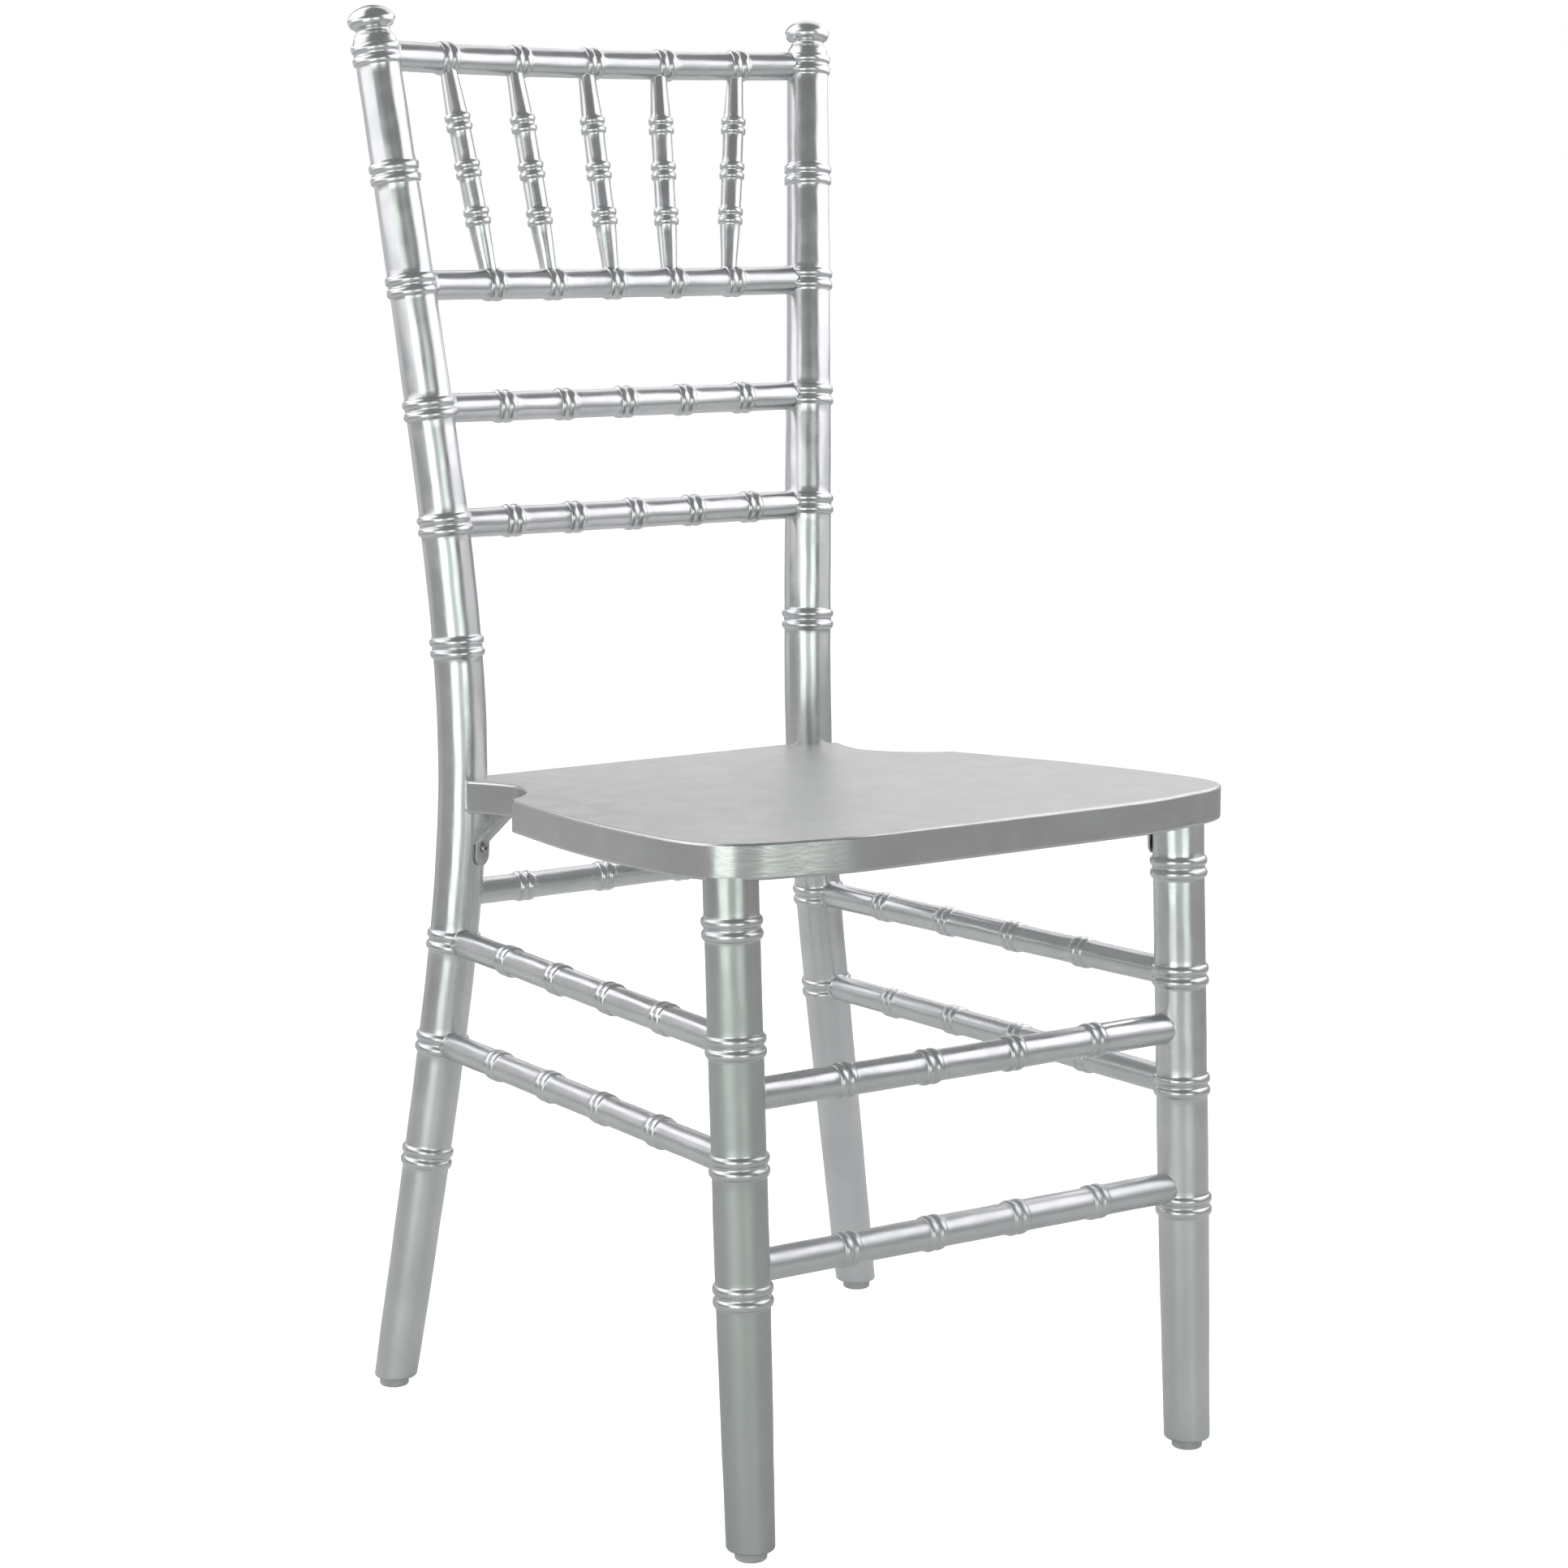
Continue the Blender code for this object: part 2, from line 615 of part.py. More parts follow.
def add_seat_sockets(bm_by_host):
    """Room in the seat for the back posts and for the dowels of the front legs."""
    for side in (-1, 1):
        clear = post_radius(SEAT_TOP_Z) + 2 * GAP
        stations = [SEAT_TOP_Z + 0.02 * k for k in range(-3, 2)]
        turn([(z, clear) for z in stations], post_axis(side), POST_SIDES, bm_by_host["seat"])
        dowel = DOWEL_RADIUS + GAP
        top = leg_top_z()
        turn([(top - 0.002, dowel), (top + DOWEL_LENGTH + GAP, dowel)], leg_axis(side),
             POST_SIDES, bm_by_host["seat"])


def main():
    clear_scene()
    uprights = {}
    for side, word in ((-1, "left"), (1, "right")):
        uprights[f"back_post_{word}"] = make_back_post(side)
        uprights[f"front_leg_{word}"] = make_front_leg(side)
    cut_hosts = [*uprights, "seat", "top_rail", "spindle_rail"]
    bm_by_host = {name: bmesh.new() for name in cut_hosts}

    pieces = cross_pieces()
    for piece in pieces:
        piece.sockets(bm_by_host)
    make_spindles(pieces, bm_by_host)
    make_brackets(bm_by_host)
    make_glides(bm_by_host)
    add_seat_sockets(bm_by_host)

    cutters = {name: add_object(f"cutter_{name}", bm) for name, bm in bm_by_host.items()}
    make_seat(cutters["seat"])
    for name, bm in uprights.items():
        add_boolean(add_object(name, bm, SILVER), cutters[name], "DIFFERENCE")
    for piece in pieces:
        rail = add_object(piece.name, piece.solid(), SILVER)
        if piece.name in cutters:
            add_boolean(rail, cutters[piece.name], "DIFFERENCE")


main()
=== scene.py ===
"""The looks of a silver Chiavari chair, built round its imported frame.

Every turned piece, the seat, the brackets, the screws and the foot glides are made again
here with fine surfaces.  The rails, stretchers and spindles take their ends from the frame,
and the other pieces repeat its driving dimensions.
Metres, +Z up.  The chair faces -Y; left is -X.
"""
import math

import bmesh
import bpy
import numpy as np
from mathutils import Matrix, Vector


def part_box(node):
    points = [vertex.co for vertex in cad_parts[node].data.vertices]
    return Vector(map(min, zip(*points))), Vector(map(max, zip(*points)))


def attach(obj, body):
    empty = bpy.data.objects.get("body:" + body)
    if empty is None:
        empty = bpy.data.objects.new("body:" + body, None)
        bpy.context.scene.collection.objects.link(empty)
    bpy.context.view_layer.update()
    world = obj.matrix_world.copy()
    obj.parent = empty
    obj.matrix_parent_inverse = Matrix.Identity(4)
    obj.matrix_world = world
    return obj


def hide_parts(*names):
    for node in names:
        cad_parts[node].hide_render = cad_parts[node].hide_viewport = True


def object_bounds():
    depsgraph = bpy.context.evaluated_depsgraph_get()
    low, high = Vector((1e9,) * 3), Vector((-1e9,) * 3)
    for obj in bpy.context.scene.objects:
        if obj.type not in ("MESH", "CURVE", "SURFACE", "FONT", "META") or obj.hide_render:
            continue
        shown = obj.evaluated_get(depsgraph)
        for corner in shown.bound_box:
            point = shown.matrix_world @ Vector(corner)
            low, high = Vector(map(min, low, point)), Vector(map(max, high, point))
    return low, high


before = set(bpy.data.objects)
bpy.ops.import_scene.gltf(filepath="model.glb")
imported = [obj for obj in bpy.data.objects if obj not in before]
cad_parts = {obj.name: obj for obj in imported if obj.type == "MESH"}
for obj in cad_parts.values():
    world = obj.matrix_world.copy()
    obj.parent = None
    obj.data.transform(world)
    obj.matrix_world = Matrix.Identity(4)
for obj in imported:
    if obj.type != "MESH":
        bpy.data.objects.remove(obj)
CAD_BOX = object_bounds()

# ---------------------------------------------------------------- sizes shared with the frame
GAP = 0.0003                    # between pieces that touch
HEIGHT = CAD_BOX[1].z
GLIDE_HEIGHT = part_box("glide_front_left")[1].z

# Centre lines of the back posts, by height.  Each view is
# (offset at the bend, height of the bend, slope below, slope above, softness).
POST_FRONT_VIEW = (0.1413, 0.410, -0.160, 0.090, 0.120)
POST_SIDE_VIEW = (0.1676, 0.471, -0.059, 0.144, 0.200)
POST_RADIUS = 0.0164            # at its thickest
POST_END_RADIUS = 0.0144        # at the foot and the top
POST_THICKEST_Z = 0.450
POST_RINGS = (0.1585, 0.236, 0.3055, 0.5035, 0.5845, 0.6605, 0.741, 0.8135, 0.890)

SEAT_TOP_Z = 0.430              # where the axes of the front legs meet it
SEAT_SLOPE = -0.038             # rise for each metre towards the back
SEAT_THICKNESS = 0.022
SEAT_DRIFT = 0.009              # the plank's front sits this far right of the chair's middle
SEAT_REAR_Y = 0.162
# (X, Y) points of the right half's outline: the neck between the back posts, then the side
# and the front edge.  A hollow notch in front of the post joins the two.
SEAT_NECK = ((0.146, 0.162), (0.146, 0.152), (0.1515, 0.1435), (0.146, 0.130),
             (0.1415, 0.115), (0.1392, 0.102))
SEAT_NOTCH_DEPTH = 0.008
SEAT_SIDE = ((0.1762, 0.0455), (0.184, 0.006), (0.1935, -0.045), (0.1995, -0.100),
             (0.2015, -0.150), (0.1995, -0.186), (0.190, -0.209), (0.172, -0.2220),
             (0.150, -0.2285), (0.130, -0.2335), (0.110, -0.2368), (0.080, -0.2375))

LEG_X = 0.1704
LEG_Y_AT_SEAT = -0.1994         # at the height of SEAT_TOP_Z
LEG_LEAN = 0.049                # how far Y moves back for each metre of height
LEG_RADIUS = 0.0164
LEG_FOOT_RADIUS = 0.0147
LEG_RINGS = (0.1605, 0.2385, 0.3095, 0.379)
LEG_TOP_Z = SEAT_TOP_Z - SEAT_THICKNESS + 0.002     # just inside the seat

FOOT_Z = GLIDE_HEIGHT + GAP     # lower ends of the posts and legs
FOOT_EASE = 0.0015              # rounding of a foot's bottom edge
PLAIN_START_Z = FOOT_Z + 0.0016                     # just above that rounding

# Pairs of beads: (distance between the two crowns, height, half width of one bead).
POST_BEADS = (0.0078, 0.0019, 0.0030)
RAIL_BEADS = (0.0064, 0.0014, 0.0031)
SPINDLE_BEADS = (0.0066, 0.0016, 0.0025)
VALLEY_SHARE = 0.24             # rise between the two crowns, as a share of the height
BEAD_FOOT_SHARE = 0.12          # rise of the slope outside the pair, as a share of the height
BEAD_FOOT_WIDTH = 0.35          # width of that slope, in half widths of a bead

HOUSING = 0.008                 # from a host's axis to the shoulder of what enters it
RAIL_RADIUS = 0.0097
FRONT_STRETCHER_RADIUS = 0.0098
SIDE_STRETCHER_RADIUS = 0.0090
# How far the middle of each back rail stands behind its ends.
RAIL_BOWS = {"top_rail": 0.013, "spindle_rail": 0.006, "middle_rail": 0.003, "lower_rail": 0.0}
RAIL_RING_COUNT = 5
STRETCHER_RING_COUNT = 4
TOP_RAIL_RING_PITCH = 0.058
RAIL_RING_PITCH = 0.048
FRONT_RING_PITCH = 0.064
SIDE_RING_PITCH = 0.0685
# How far the rings of each side stretcher stand forward of its middle.
SIDE_RING_SHIFTS = {"left_upper": 0.001, "left_lower": -0.0035,
                    "right_upper": -0.0065, "right_lower": -0.006}
SPINDLE_COUNT = 5
SPINDLE_END_RADIUS = 0.0056
SPINDLE_RADIUS = 0.0073
SPINDLE_RINGS = (0.27, 0.49, 0.71)                  # in lengths, from the top
SPINDLE_JOINT = 0.004           # about where a spindle leaves its rail

BRACKET_THICKNESS = 0.0016
BRACKET_WIDTH = 0.0145
BRACKET_HEIGHT = 0.395          # about where a bracket meets its leg
BRACKET_SEAT_TAB = 0.018
BRACKET_SLANT = {"front": 0.006, "back": 0.0205}    # from the corner to either bend
BRACKET_LEG_TAB = {"front": 0.0148, "back": 0.0160}
BRACKET_TURN = math.radians(25)                     # from fore and aft towards the middle
BRACKET_TIP = BRACKET_WIDTH * 0.45                  # radius of the rounded ends
BRACKET_KNEE = 0.0028           # radius of the two bends
SCREW_HEAD_RADIUS = 0.0030
SCREW_HEAD_HEIGHT = 0.0020
SCREW_RADIUS = 0.0016
SCREW_LENGTH = 0.012
SEAT_SCREW_INSET = 0.0085
LEG_SCREW_INSET = {"front": 0.0075, "back": 0.0118}

GLIDE_RADIUS = 0.0098
GLIDE_EASE = 0.0014             # rounding of its lower edge
GLIDE_WELL_RADIUS = 0.0038      # of the recess for the nail's head
GLIDE_WELL_DEPTH = 0.0025
NAIL_RADIUS = 0.0014
NAIL_HEAD = (0.0009, 0.0022, 0.0035)                # lowest point, upper side, radius
NAIL_LENGTH = 0.020

# ---------------------------------------------------------------- fineness
POST_SIDES = 64
RAIL_SIDES = 48
SPINDLE_SIDES = 40
SCREW_SIDES = 96
GLIDE_SIDES = 64
NAIL_SIDES = 32
PLAIN_STEP = 0.005              # between stations on a plain run
BEAD_STEPS = 10                 # across one bead
KNEE_STEPS = 6                  # round one bend of a bracket
TANGENT_STEP = 0.0005           # either side of the point where a tangent is taken
RING_REACH = 0.0075             # half the stretch of a ring that hands and cloths rub
FILLET = 0.0009                 # paint that bridges a joint
FILLET_SINK = 0.00004           # how far its edges dip under the surfaces that it joins
FILLET_SEARCH = 0.030           # how far out of a host its surface is looked for

# The slow waves that a lathe, sanding and thick paint leave on a turned surface:
# their height, then (lobes round the piece, radians for each metre, phases, share) of each.
RIPPLE = 0.00005
WAVES = ((2, 61, 1, 1.0), (3, -97, 2, 1.0), (5, 173, -1, 0.7))
THIN_RADIUS = 0.006             # the waves fade on anything thinner
LEVEL_FOOT_Z = 0.010            # an upright's sections are level up to here
SQUARING = 0.035                # and turn square to its axis over this height


# ---------------------------------------------------------------- mesh helpers
def add_piece(name, mesh, material):
    """Link a mesh as a piece that rides on the chair and stands for the node of its name."""
    piece = bpy.data.objects.new(name, mesh)
    bpy.context.scene.collection.objects.link(piece)
    mesh.materials.append(material)
    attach(piece, "root")
    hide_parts(name)
    return piece


def mesh_of(bm, name, sharp_degrees=45):
    bmesh.ops.recalc_face_normals(bm, faces=bm.faces)
    mesh = bpy.data.meshes.new(name)
    bm.to_mesh(mesh)
    bm.free()
    mesh.shade_smooth()
    mesh.set_sharp_from_angle(angle=math.radians(sharp_degrees))
    return mesh


def skin_stack(bm, loops):
    """Close a stack of loops into a solid: its sides, then its two flat ends."""
    for low, high in zip(loops, loops[1:]):
        for k in range(len(low)):
            bm.faces.new((low[k - 1], low[k], high[k], high[k - 1]))
    bm.faces.new(loops[0][::-1])
    bm.faces.new(loops[-1])


def skin_hoop(bm, sections):
    """Join sections that stand all the way round a circle, the last to the first."""
    for k in range(len(sections)):
        before, section = sections[k - 1], sections[k]
        for j in range(len(section)):
            bm.faces.new((before[j - 1], before[j], section[j], section[j - 1]))


def smooth_points(points, steps):
    """A Catmull-Rom curve through the points, with some steps between each two."""
    path = [Vector(p) for p in points]
    path = [2 * path[0] - path[1], *path, 2 * path[-1] - path[-2]]
    curve = []
    for a, b, c, d in zip(path, path[1:], path[2:], path[3:]):
        for k in range(steps):
            t = k / steps
            curve.append(tuple(0.5 * (2 * b + (c - a) * t + (2 * a - 5 * b + 4 * c - d) * t * t
                                      + (3 * b - a - 3 * c + d) * t * t * t)))
    curve.append(tuple(points[-1]))
    return curve


# ---------------------------------------------------------------- turned work
def bend(z, offset, bend_z, slope_below, slope_above, softness):
    """Offset at height z of a line that changes slope softly at bend_z."""
    rise = z - bend_z
    mean = (slope_below + slope_above) / 2
    half_change = (slope_above - slope_below) / 2
    return offset + mean * rise + half_change * (math.hypot(rise, softness) - softness)


def post_axis(side):
    def point(z):
        return Vector((side * bend(z, *POST_FRONT_VIEW), bend(z, *POST_SIDE_VIEW), z))
    return point


def leg_axis(side):
    def point(z):
        return Vector((side * LEG_X, LEG_Y_AT_SEAT + LEG_LEAN * (z - SEAT_TOP_Z), z))
    return point


def bowed_axis(start, end, bow=Vector((0, 0, 0))):
    """A path from start to end that is carried aside by the vector bow at its middle."""
    length = (end - start).length

    def point(distance):
        t = distance / length
        return start.lerp(end, t) + bow * (4 * t * (1 - t))
    return point


def straight_axis(start, direction):
    def point(s):
        return start + direction * s
    return point


def tangent(axis, s):
    return (axis(s + TANGENT_STEP) - axis(s - TANGENT_STEP)).normalized()


def bead_rise(offset, beads):
    """How far a pair of beads stands out of the plain surface, by distance from its middle."""
    pitch, height, half = beads
    u = abs(offset) - pitch / 2
    valley = VALLEY_SHARE * height if abs(offset) < pitch / 2 else 0.0
    fade = max(0.0, 1 - max(0.0, u - half) / (BEAD_FOOT_WIDTH * half))
    foot = BEAD_FOOT_SHARE * height * fade
    if abs(u) >= half:
        return max(valley, foot) if u > 0 else valley
    crown = height * (1 - (u / half) ** 2) ** 0.5
    return max(crown, valley, foot)


class Turned:
    """A turned piece: its axis by distance, its plain radius by distance, and its rings.

    Its surface runs from start to end.  A cross piece's length also takes in its tenons.
    """

    def __init__(self, axis, start, end, plain_radius, rings, beads, length=None):
        self.axis = axis
        self.start = start
        self.end = end
        self.plain_radius = plain_radius
        self.rings = rings
        self.beads = beads
        self.length = length

    def far_axis(self, s):
        """The axis by distance from the far end of its length, which is negative within it."""
        return self.axis(self.length + s)

    def radius(self, s):
        return self.plain_radius(s) + max(bead_rise(s - ring, self.beads) for ring in self.rings)

    def profile(self):
        """(distance, radius) stations, close together on the beads."""
        pitch, _, half = self.beads
        reach = pitch / 2 + 1.5 * half
        outer_edge = pitch / 2 + half
        turn = np.linspace(0, math.pi, BEAD_STEPS + 1)
        stations = set(np.linspace(self.start, self.end,
                                   2 + int((self.end - self.start) / PLAIN_STEP)))
        for ring in self.rings:
            stations = {s for s in stations if abs(s - ring) > reach}
            for crown in (ring - pitch / 2, ring + pitch / 2):
                stations.update(crown - half * np.cos(turn))
            for way in (-1, 1):
                stations.update(ring + way * outer_edge + way * half * f
                                for f in (0.01, 0.18, 0.36))
            stations.add(ring)
        inside = sorted(s for s in stations if self.start <= s <= self.end)
        return [(s, self.radius(s)) for s in inside]

    def nearest(self, point, s):
        """(distance along the axis, distance from it) of a point, starting from a guess."""
        for _ in range(3):
            s += (point - self.axis(s)).dot(tangent(self.axis, s))
        return s, (point - self.axis(s)).length


def section_frame(axis, s, squareness=1.0):
    """Rotation that lays a section square to the axis, or less so, down to level at 0."""
    upright = Vector((0, 0, 1))
    direction = tangent(axis, s)
    if squareness < 1.0:
        direction = upright.lerp(direction, squareness)
    return np.array(upright.rotation_difference(direction).to_matrix())


def turned_bmesh(axis, profile, sides, phase, level_foot=False, rings=()):
    """Sweep a turned profile along an axis.  The UV map is (turns, metres along the axis).

    The phase shifts the slow waves, so that no two pieces have the same ones.
    The "rubbed" attribute is 1 on the beads of the rings, where hands and cloths polish them.
    """
    bm = bmesh.new()
    rubbed = bm.verts.layers.float.new("rubbed")
    uv = bm.loops.layers.uv.new("turning")
    angles = 2 * math.pi * (np.arange(sides) / sides)
    loops = []
    for s, radius in profile:
        squareness = min(1.0, max(0.0, (s - LEVEL_FOOT_Z) / SQUARING)) if level_foot else 1.0
        rotation = section_frame(axis, s, squareness)
        wave = sum(share * np.sin(lobes * angles + drift * s + phases * phase)
                   for lobes, drift, phases, share in WAVES)
        radii = radius + RIPPLE * wave * min(1.0, radius / THIN_RADIUS)
        spokes = np.stack([radii * np.cos(angles), radii * np.sin(angles), 0 * angles])
        points = (rotation @ spokes).T + np.array(axis(s))
        loops.append([bm.verts.new(p) for p in points])
        on_ring = float(any(abs(s - ring) < RING_REACH for ring in rings))
        for vert in loops[-1]:
            vert[rubbed] = on_ring
    for (low_s, _), (high_s, _), lower, upper in zip(profile, profile[1:], loops, loops[1:]):
        for k in range(sides):
            face = bm.faces.new((lower[k - 1], lower[k], upper[k], upper[k - 1]))
            corners = ((k - 1, low_s), (k, low_s), (k, high_s), (k - 1, high_s))
            for loop, (turn, v) in zip(face.loops, corners):
                loop[uv].uv = ((turn + 1) / sides, v)
    bm.faces.new(loops[0][::-1])
    bm.faces.new(loops[-1])
    return bm


def add_fillet(bm, axis, away, radius, host, guess, sides=RAIL_SIDES):
    """A ring of paint round the joint where a thin turned piece enters its host.

    axis(0) is inside the host and away (+1 or -1) is the way out of it.
    """
    rotation = Matrix(section_frame(axis, 0).tolist())
    sections = []
    for k in range(sides):
        angle = 2 * math.pi * k / sides
        spoke = rotation @ Vector((math.cos(angle), math.sin(angle), 0))
        low, high = 0.0, FILLET_SEARCH
        for _ in range(18):
            middle = (low + high) / 2
            s, distance = host.nearest(axis(away * middle) + spoke * radius, guess)
            if distance > host.radius(s):
                high = middle
            else:
                low = middle
        corner = axis(away * high) + spoke * radius
        out = (axis(away * (high + FILLET)) - axis(away * high)).normalized()
        on_thin = corner + out * FILLET - spoke * FILLET_SINK
        beside = corner + spoke * FILLET
        s, distance = host.nearest(beside, guess)
        centre = host.axis(s)
        on_host = centre + (beside - centre) * ((host.radius(s) - FILLET_SINK) / distance)
        hollow = [on_thin * (1 - t) ** 2 + corner * (2 * t * (1 - t)) + on_host * t * t
                  for t in (0.25, 0.5, 0.75)]
        hidden = corner - spoke * (0.5 * FILLET) - out * (0.5 * FILLET)
        sections.append([bm.verts.new(p) for p in (on_thin, *hollow, on_host, hidden)])
    skin_hoop(bm, sections)


def add_turned(bm, axis, profile, sides, carve=None):
    """A small solid of revolution; carve(x, y) pushes its first end in, as a recess does."""
    rotation = Matrix(section_frame(axis, 0).tolist())
    loops = []
    for s, radius in profile:
        loop = []
        for k in range(sides):
            angle = 2 * math.pi * k / sides
            x, y = radius * math.cos(angle), radius * math.sin(angle)
            depth = carve(x, y) if carve and s < 0 else 0
            loop.append(bm.verts.new(axis(s + depth) + rotation @ Vector((x, y, 0))))
        loops.append(loop)
    skin_stack(bm, loops)


# ---------------------------------------------------------------- posts and legs
def post_radius(z):
    fall = (z - POST_THICKEST_Z) / POST_THICKEST_Z
    return POST_RADIUS - (POST_RADIUS - POST_END_RADIUS) * fall * fall


def leg_radius(z):
    return LEG_FOOT_RADIUS + (LEG_RADIUS - LEG_FOOT_RADIUS) * min(1, z / LEG_RINGS[0])


def foot_profile(radius_at):
    """The rounded bottom edge of a foot, just above its glide."""
    full = radius_at(FOOT_Z + FOOT_EASE)
    turns = [k * math.pi / 10 for k in range(6)]
    rim = [(FOOT_Z + FOOT_EASE * (1 - math.cos(t)), full - FOOT_EASE * (1 - math.sin(t)))
           for t in turns]
    return [(FOOT_Z, full - 2 * FOOT_EASE)] + rim


# Waist and button above a post's top ring: (height from the very top, radius).
FINIAL = ((-0.0220, 0.0139), (-0.0206, 0.0134), (-0.0191, 0.0125), (-0.0177, 0.0116),
          (-0.0164, 0.0112), (-0.0154, 0.0115), (-0.0146, 0.0125), (-0.0137, 0.0139),
          (-0.0124, 0.0150), (-0.0108, 0.0156), (-0.0090, 0.0157), (-0.0073, 0.0151),
          (-0.0057, 0.0141), (-0.0042, 0.0127), (-0.0029, 0.0108), (-0.0018, 0.0085),
          (-0.0009, 0.0059), (-0.0003, 0.0032), (-0.0001, 0.0012))


def finial_profile():
    return [(HEIGHT + rise, radius) for rise, radius in smooth_points(FINIAL, 3)]


def back_post(side):
    pitch, _, half = POST_BEADS
    top = POST_RINGS[-1] + pitch / 2 + half
    return Turned(post_axis(side), PLAIN_START_Z, top, post_radius, POST_RINGS, POST_BEADS)


def front_leg(side):
    return Turned(leg_axis(side), PLAIN_START_Z, LEG_TOP_Z, leg_radius, LEG_RINGS, POST_BEADS)


def make_uprights(post_material, leg_materials):
    uprights = {}
    for side, word in ((-1, "left"), (1, "right")):
        post = back_post(side)
        name = f"back_post_{word}"
        profile = foot_profile(post_radius) + post.profile() + finial_profile()
        bm = turned_bmesh(post.axis, profile, POST_SIDES, 0.9 * side, level_foot=True,
                          rings=post.rings)
        add_piece(name, mesh_of(bm, name), post_material)
        uprights[name] = post
        leg = front_leg(side)
        name = f"front_leg_{word}"
        profile = foot_profile(leg_radius) + leg.profile()
        bm = turned_bmesh(leg.axis, profile, POST_SIDES, 2.9 * side, level_foot=True,
                          rings=leg.rings)
        add_piece(name, mesh_of(bm, name), leg_materials[word])
        uprights[name] = leg
    return uprights


# ---------------------------------------------------------------- rails and stretchers
def end_centres(node, backwards=False):
    """Centres of the two flat ends of a turned CAD node, lower X (or higher Y) first."""
    co = np.unique(np.round([v.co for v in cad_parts[node].data.vertices], 6), axis=0)
    middle = co.mean(0)
    along = (co - middle) @ np.linalg.svd(co - middle, full_matrices=False)[2][0]
    near = 0.0015
    ends = [Vector(co[along < along.min() + near].mean(0)),
            Vector(co[along > along.max() - near].mean(0))]
    return sorted(ends, key=lambda p: -p.y if backwards else p.x)


def ring_row(length, count, pitch, shift):
    return [length / 2 + shift + pitch * (k - (count - 1) / 2) for k in range(count)]


def cross_piece(node, radius, count, pitch, shift=0.0, bow=0.0, backwards=False):
    start, end = end_centres(node, backwards)
    length = (end - start).length
    aside = Vector((0, 0, 0))
    if bow:
        near = 0.01
        rise = post_axis(1)(start.z + near) - post_axis(1)(start.z - near)
        aside = Vector((0, rise.z, -rise.y)).normalized() * bow
    return Turned(bowed_axis(start, end, aside), HOUSING, length - HOUSING, lambda s: radius,
                  ring_row(length, count, pitch, shift), RAIL_BEADS, length)


def add_cross_piece(name, piece, hosts, material, phase):
    bm = turned_bmesh(piece.axis, piece.profile(), RAIL_SIDES, phase)
    radius = piece.plain_radius(0)
    add_fillet(bm, piece.axis, 1, radius, hosts[0], piece.axis(0).z)
    add_fillet(bm, piece.far_axis, -1, radius, hosts[1], piece.far_axis(0).z)
    add_piece(name, mesh_of(bm, name), material)


def make_cross_pieces(uprights, material):
    pieces = {}
    posts = (uprights["back_post_left"], uprights["back_post_right"])
    legs = (uprights["front_leg_left"], uprights["front_leg_right"])
    for name, bow in RAIL_BOWS.items():
        pitch = TOP_RAIL_RING_PITCH if name == "top_rail" else RAIL_RING_PITCH
        rail = cross_piece(name, RAIL_RADIUS, RAIL_RING_COUNT, pitch, bow=bow)
        pieces[name] = (rail, posts)
    pieces["rear_stretcher"] = (cross_piece("rear_stretcher", SIDE_STRETCHER_RADIUS,
                                            STRETCHER_RING_COUNT, FRONT_RING_PITCH), posts)
    for level in ("upper", "lower"):
        name = f"front_stretcher_{level}"
        pieces[name] = (cross_piece(name, FRONT_STRETCHER_RADIUS, STRETCHER_RING_COUNT,
                                    FRONT_RING_PITCH), legs)
        for word in ("left", "right"):
            name = f"side_stretcher_{word}_{level}"
            shift = SIDE_RING_SHIFTS[f"{word}_{level}"]
            hosts = (uprights[f"back_post_{word}"], uprights[f"front_leg_{word}"])
            pieces[name] = (cross_piece(name, SIDE_STRETCHER_RADIUS, STRETCHER_RING_COUNT,
                                        SIDE_RING_PITCH, shift, backwards=True), hosts)
    for number, (name, (piece, hosts)) in enumerate(pieces.items()):
        add_cross_piece(name, piece, hosts, material, 1.7 * number)
    return {name: piece for name, (piece, _) in pieces.items()}


def make_spindles(top_rail, spindle_rail, material):
    """Slim ends, a fuller middle and three rings."""
    for number in range(1, SPINDLE_COUNT + 1):
        name = f"spindle_{number}"
        low, top = sorted(end_centres(name), key=lambda p: p.z)
        length = (top - low).length
        rings = [length * (1 - part) for part in SPINDLE_RINGS]

        def plain(s, length=length, rings=rings):
            swell = min(1, min(s, length - s) / rings[-1])
            swell = swell * swell * (3 - 2 * swell)
            return SPINDLE_END_RADIUS + (SPINDLE_RADIUS - SPINDLE_END_RADIUS) * swell
        spindle = Turned(bowed_axis(low, top), 0, length, plain, rings, SPINDLE_BEADS, length)
        bm = turned_bmesh(spindle.axis, spindle.profile(), SPINDLE_SIDES, 2.3 * number)
        radius = plain(SPINDLE_JOINT)
        add_fillet(bm, spindle.axis, 1, radius, spindle_rail,
                   spindle_rail.length / 2 + low.x, SPINDLE_SIDES)
        add_fillet(bm, spindle.far_axis, -1, radius, top_rail,
                   top_rail.length / 2 + top.x, SPINDLE_SIDES)
        add_piece(name, mesh_of(bm, name), material)


# ---------------------------------------------------------------- seat
def bulged_points(start, end, bulge, count):
    """Points between start and end, on a line that bows to its right by bulge."""
    start, end = Vector(start), Vector(end)
    chord = end - start
    normal = Vector((chord.y, -chord.x)).normalized()
    inner = [k / count for k in range(1, count)]
    return [tuple(start.lerp(end, t) + normal * (4 * t * (1 - t) * bulge)) for t in inner]


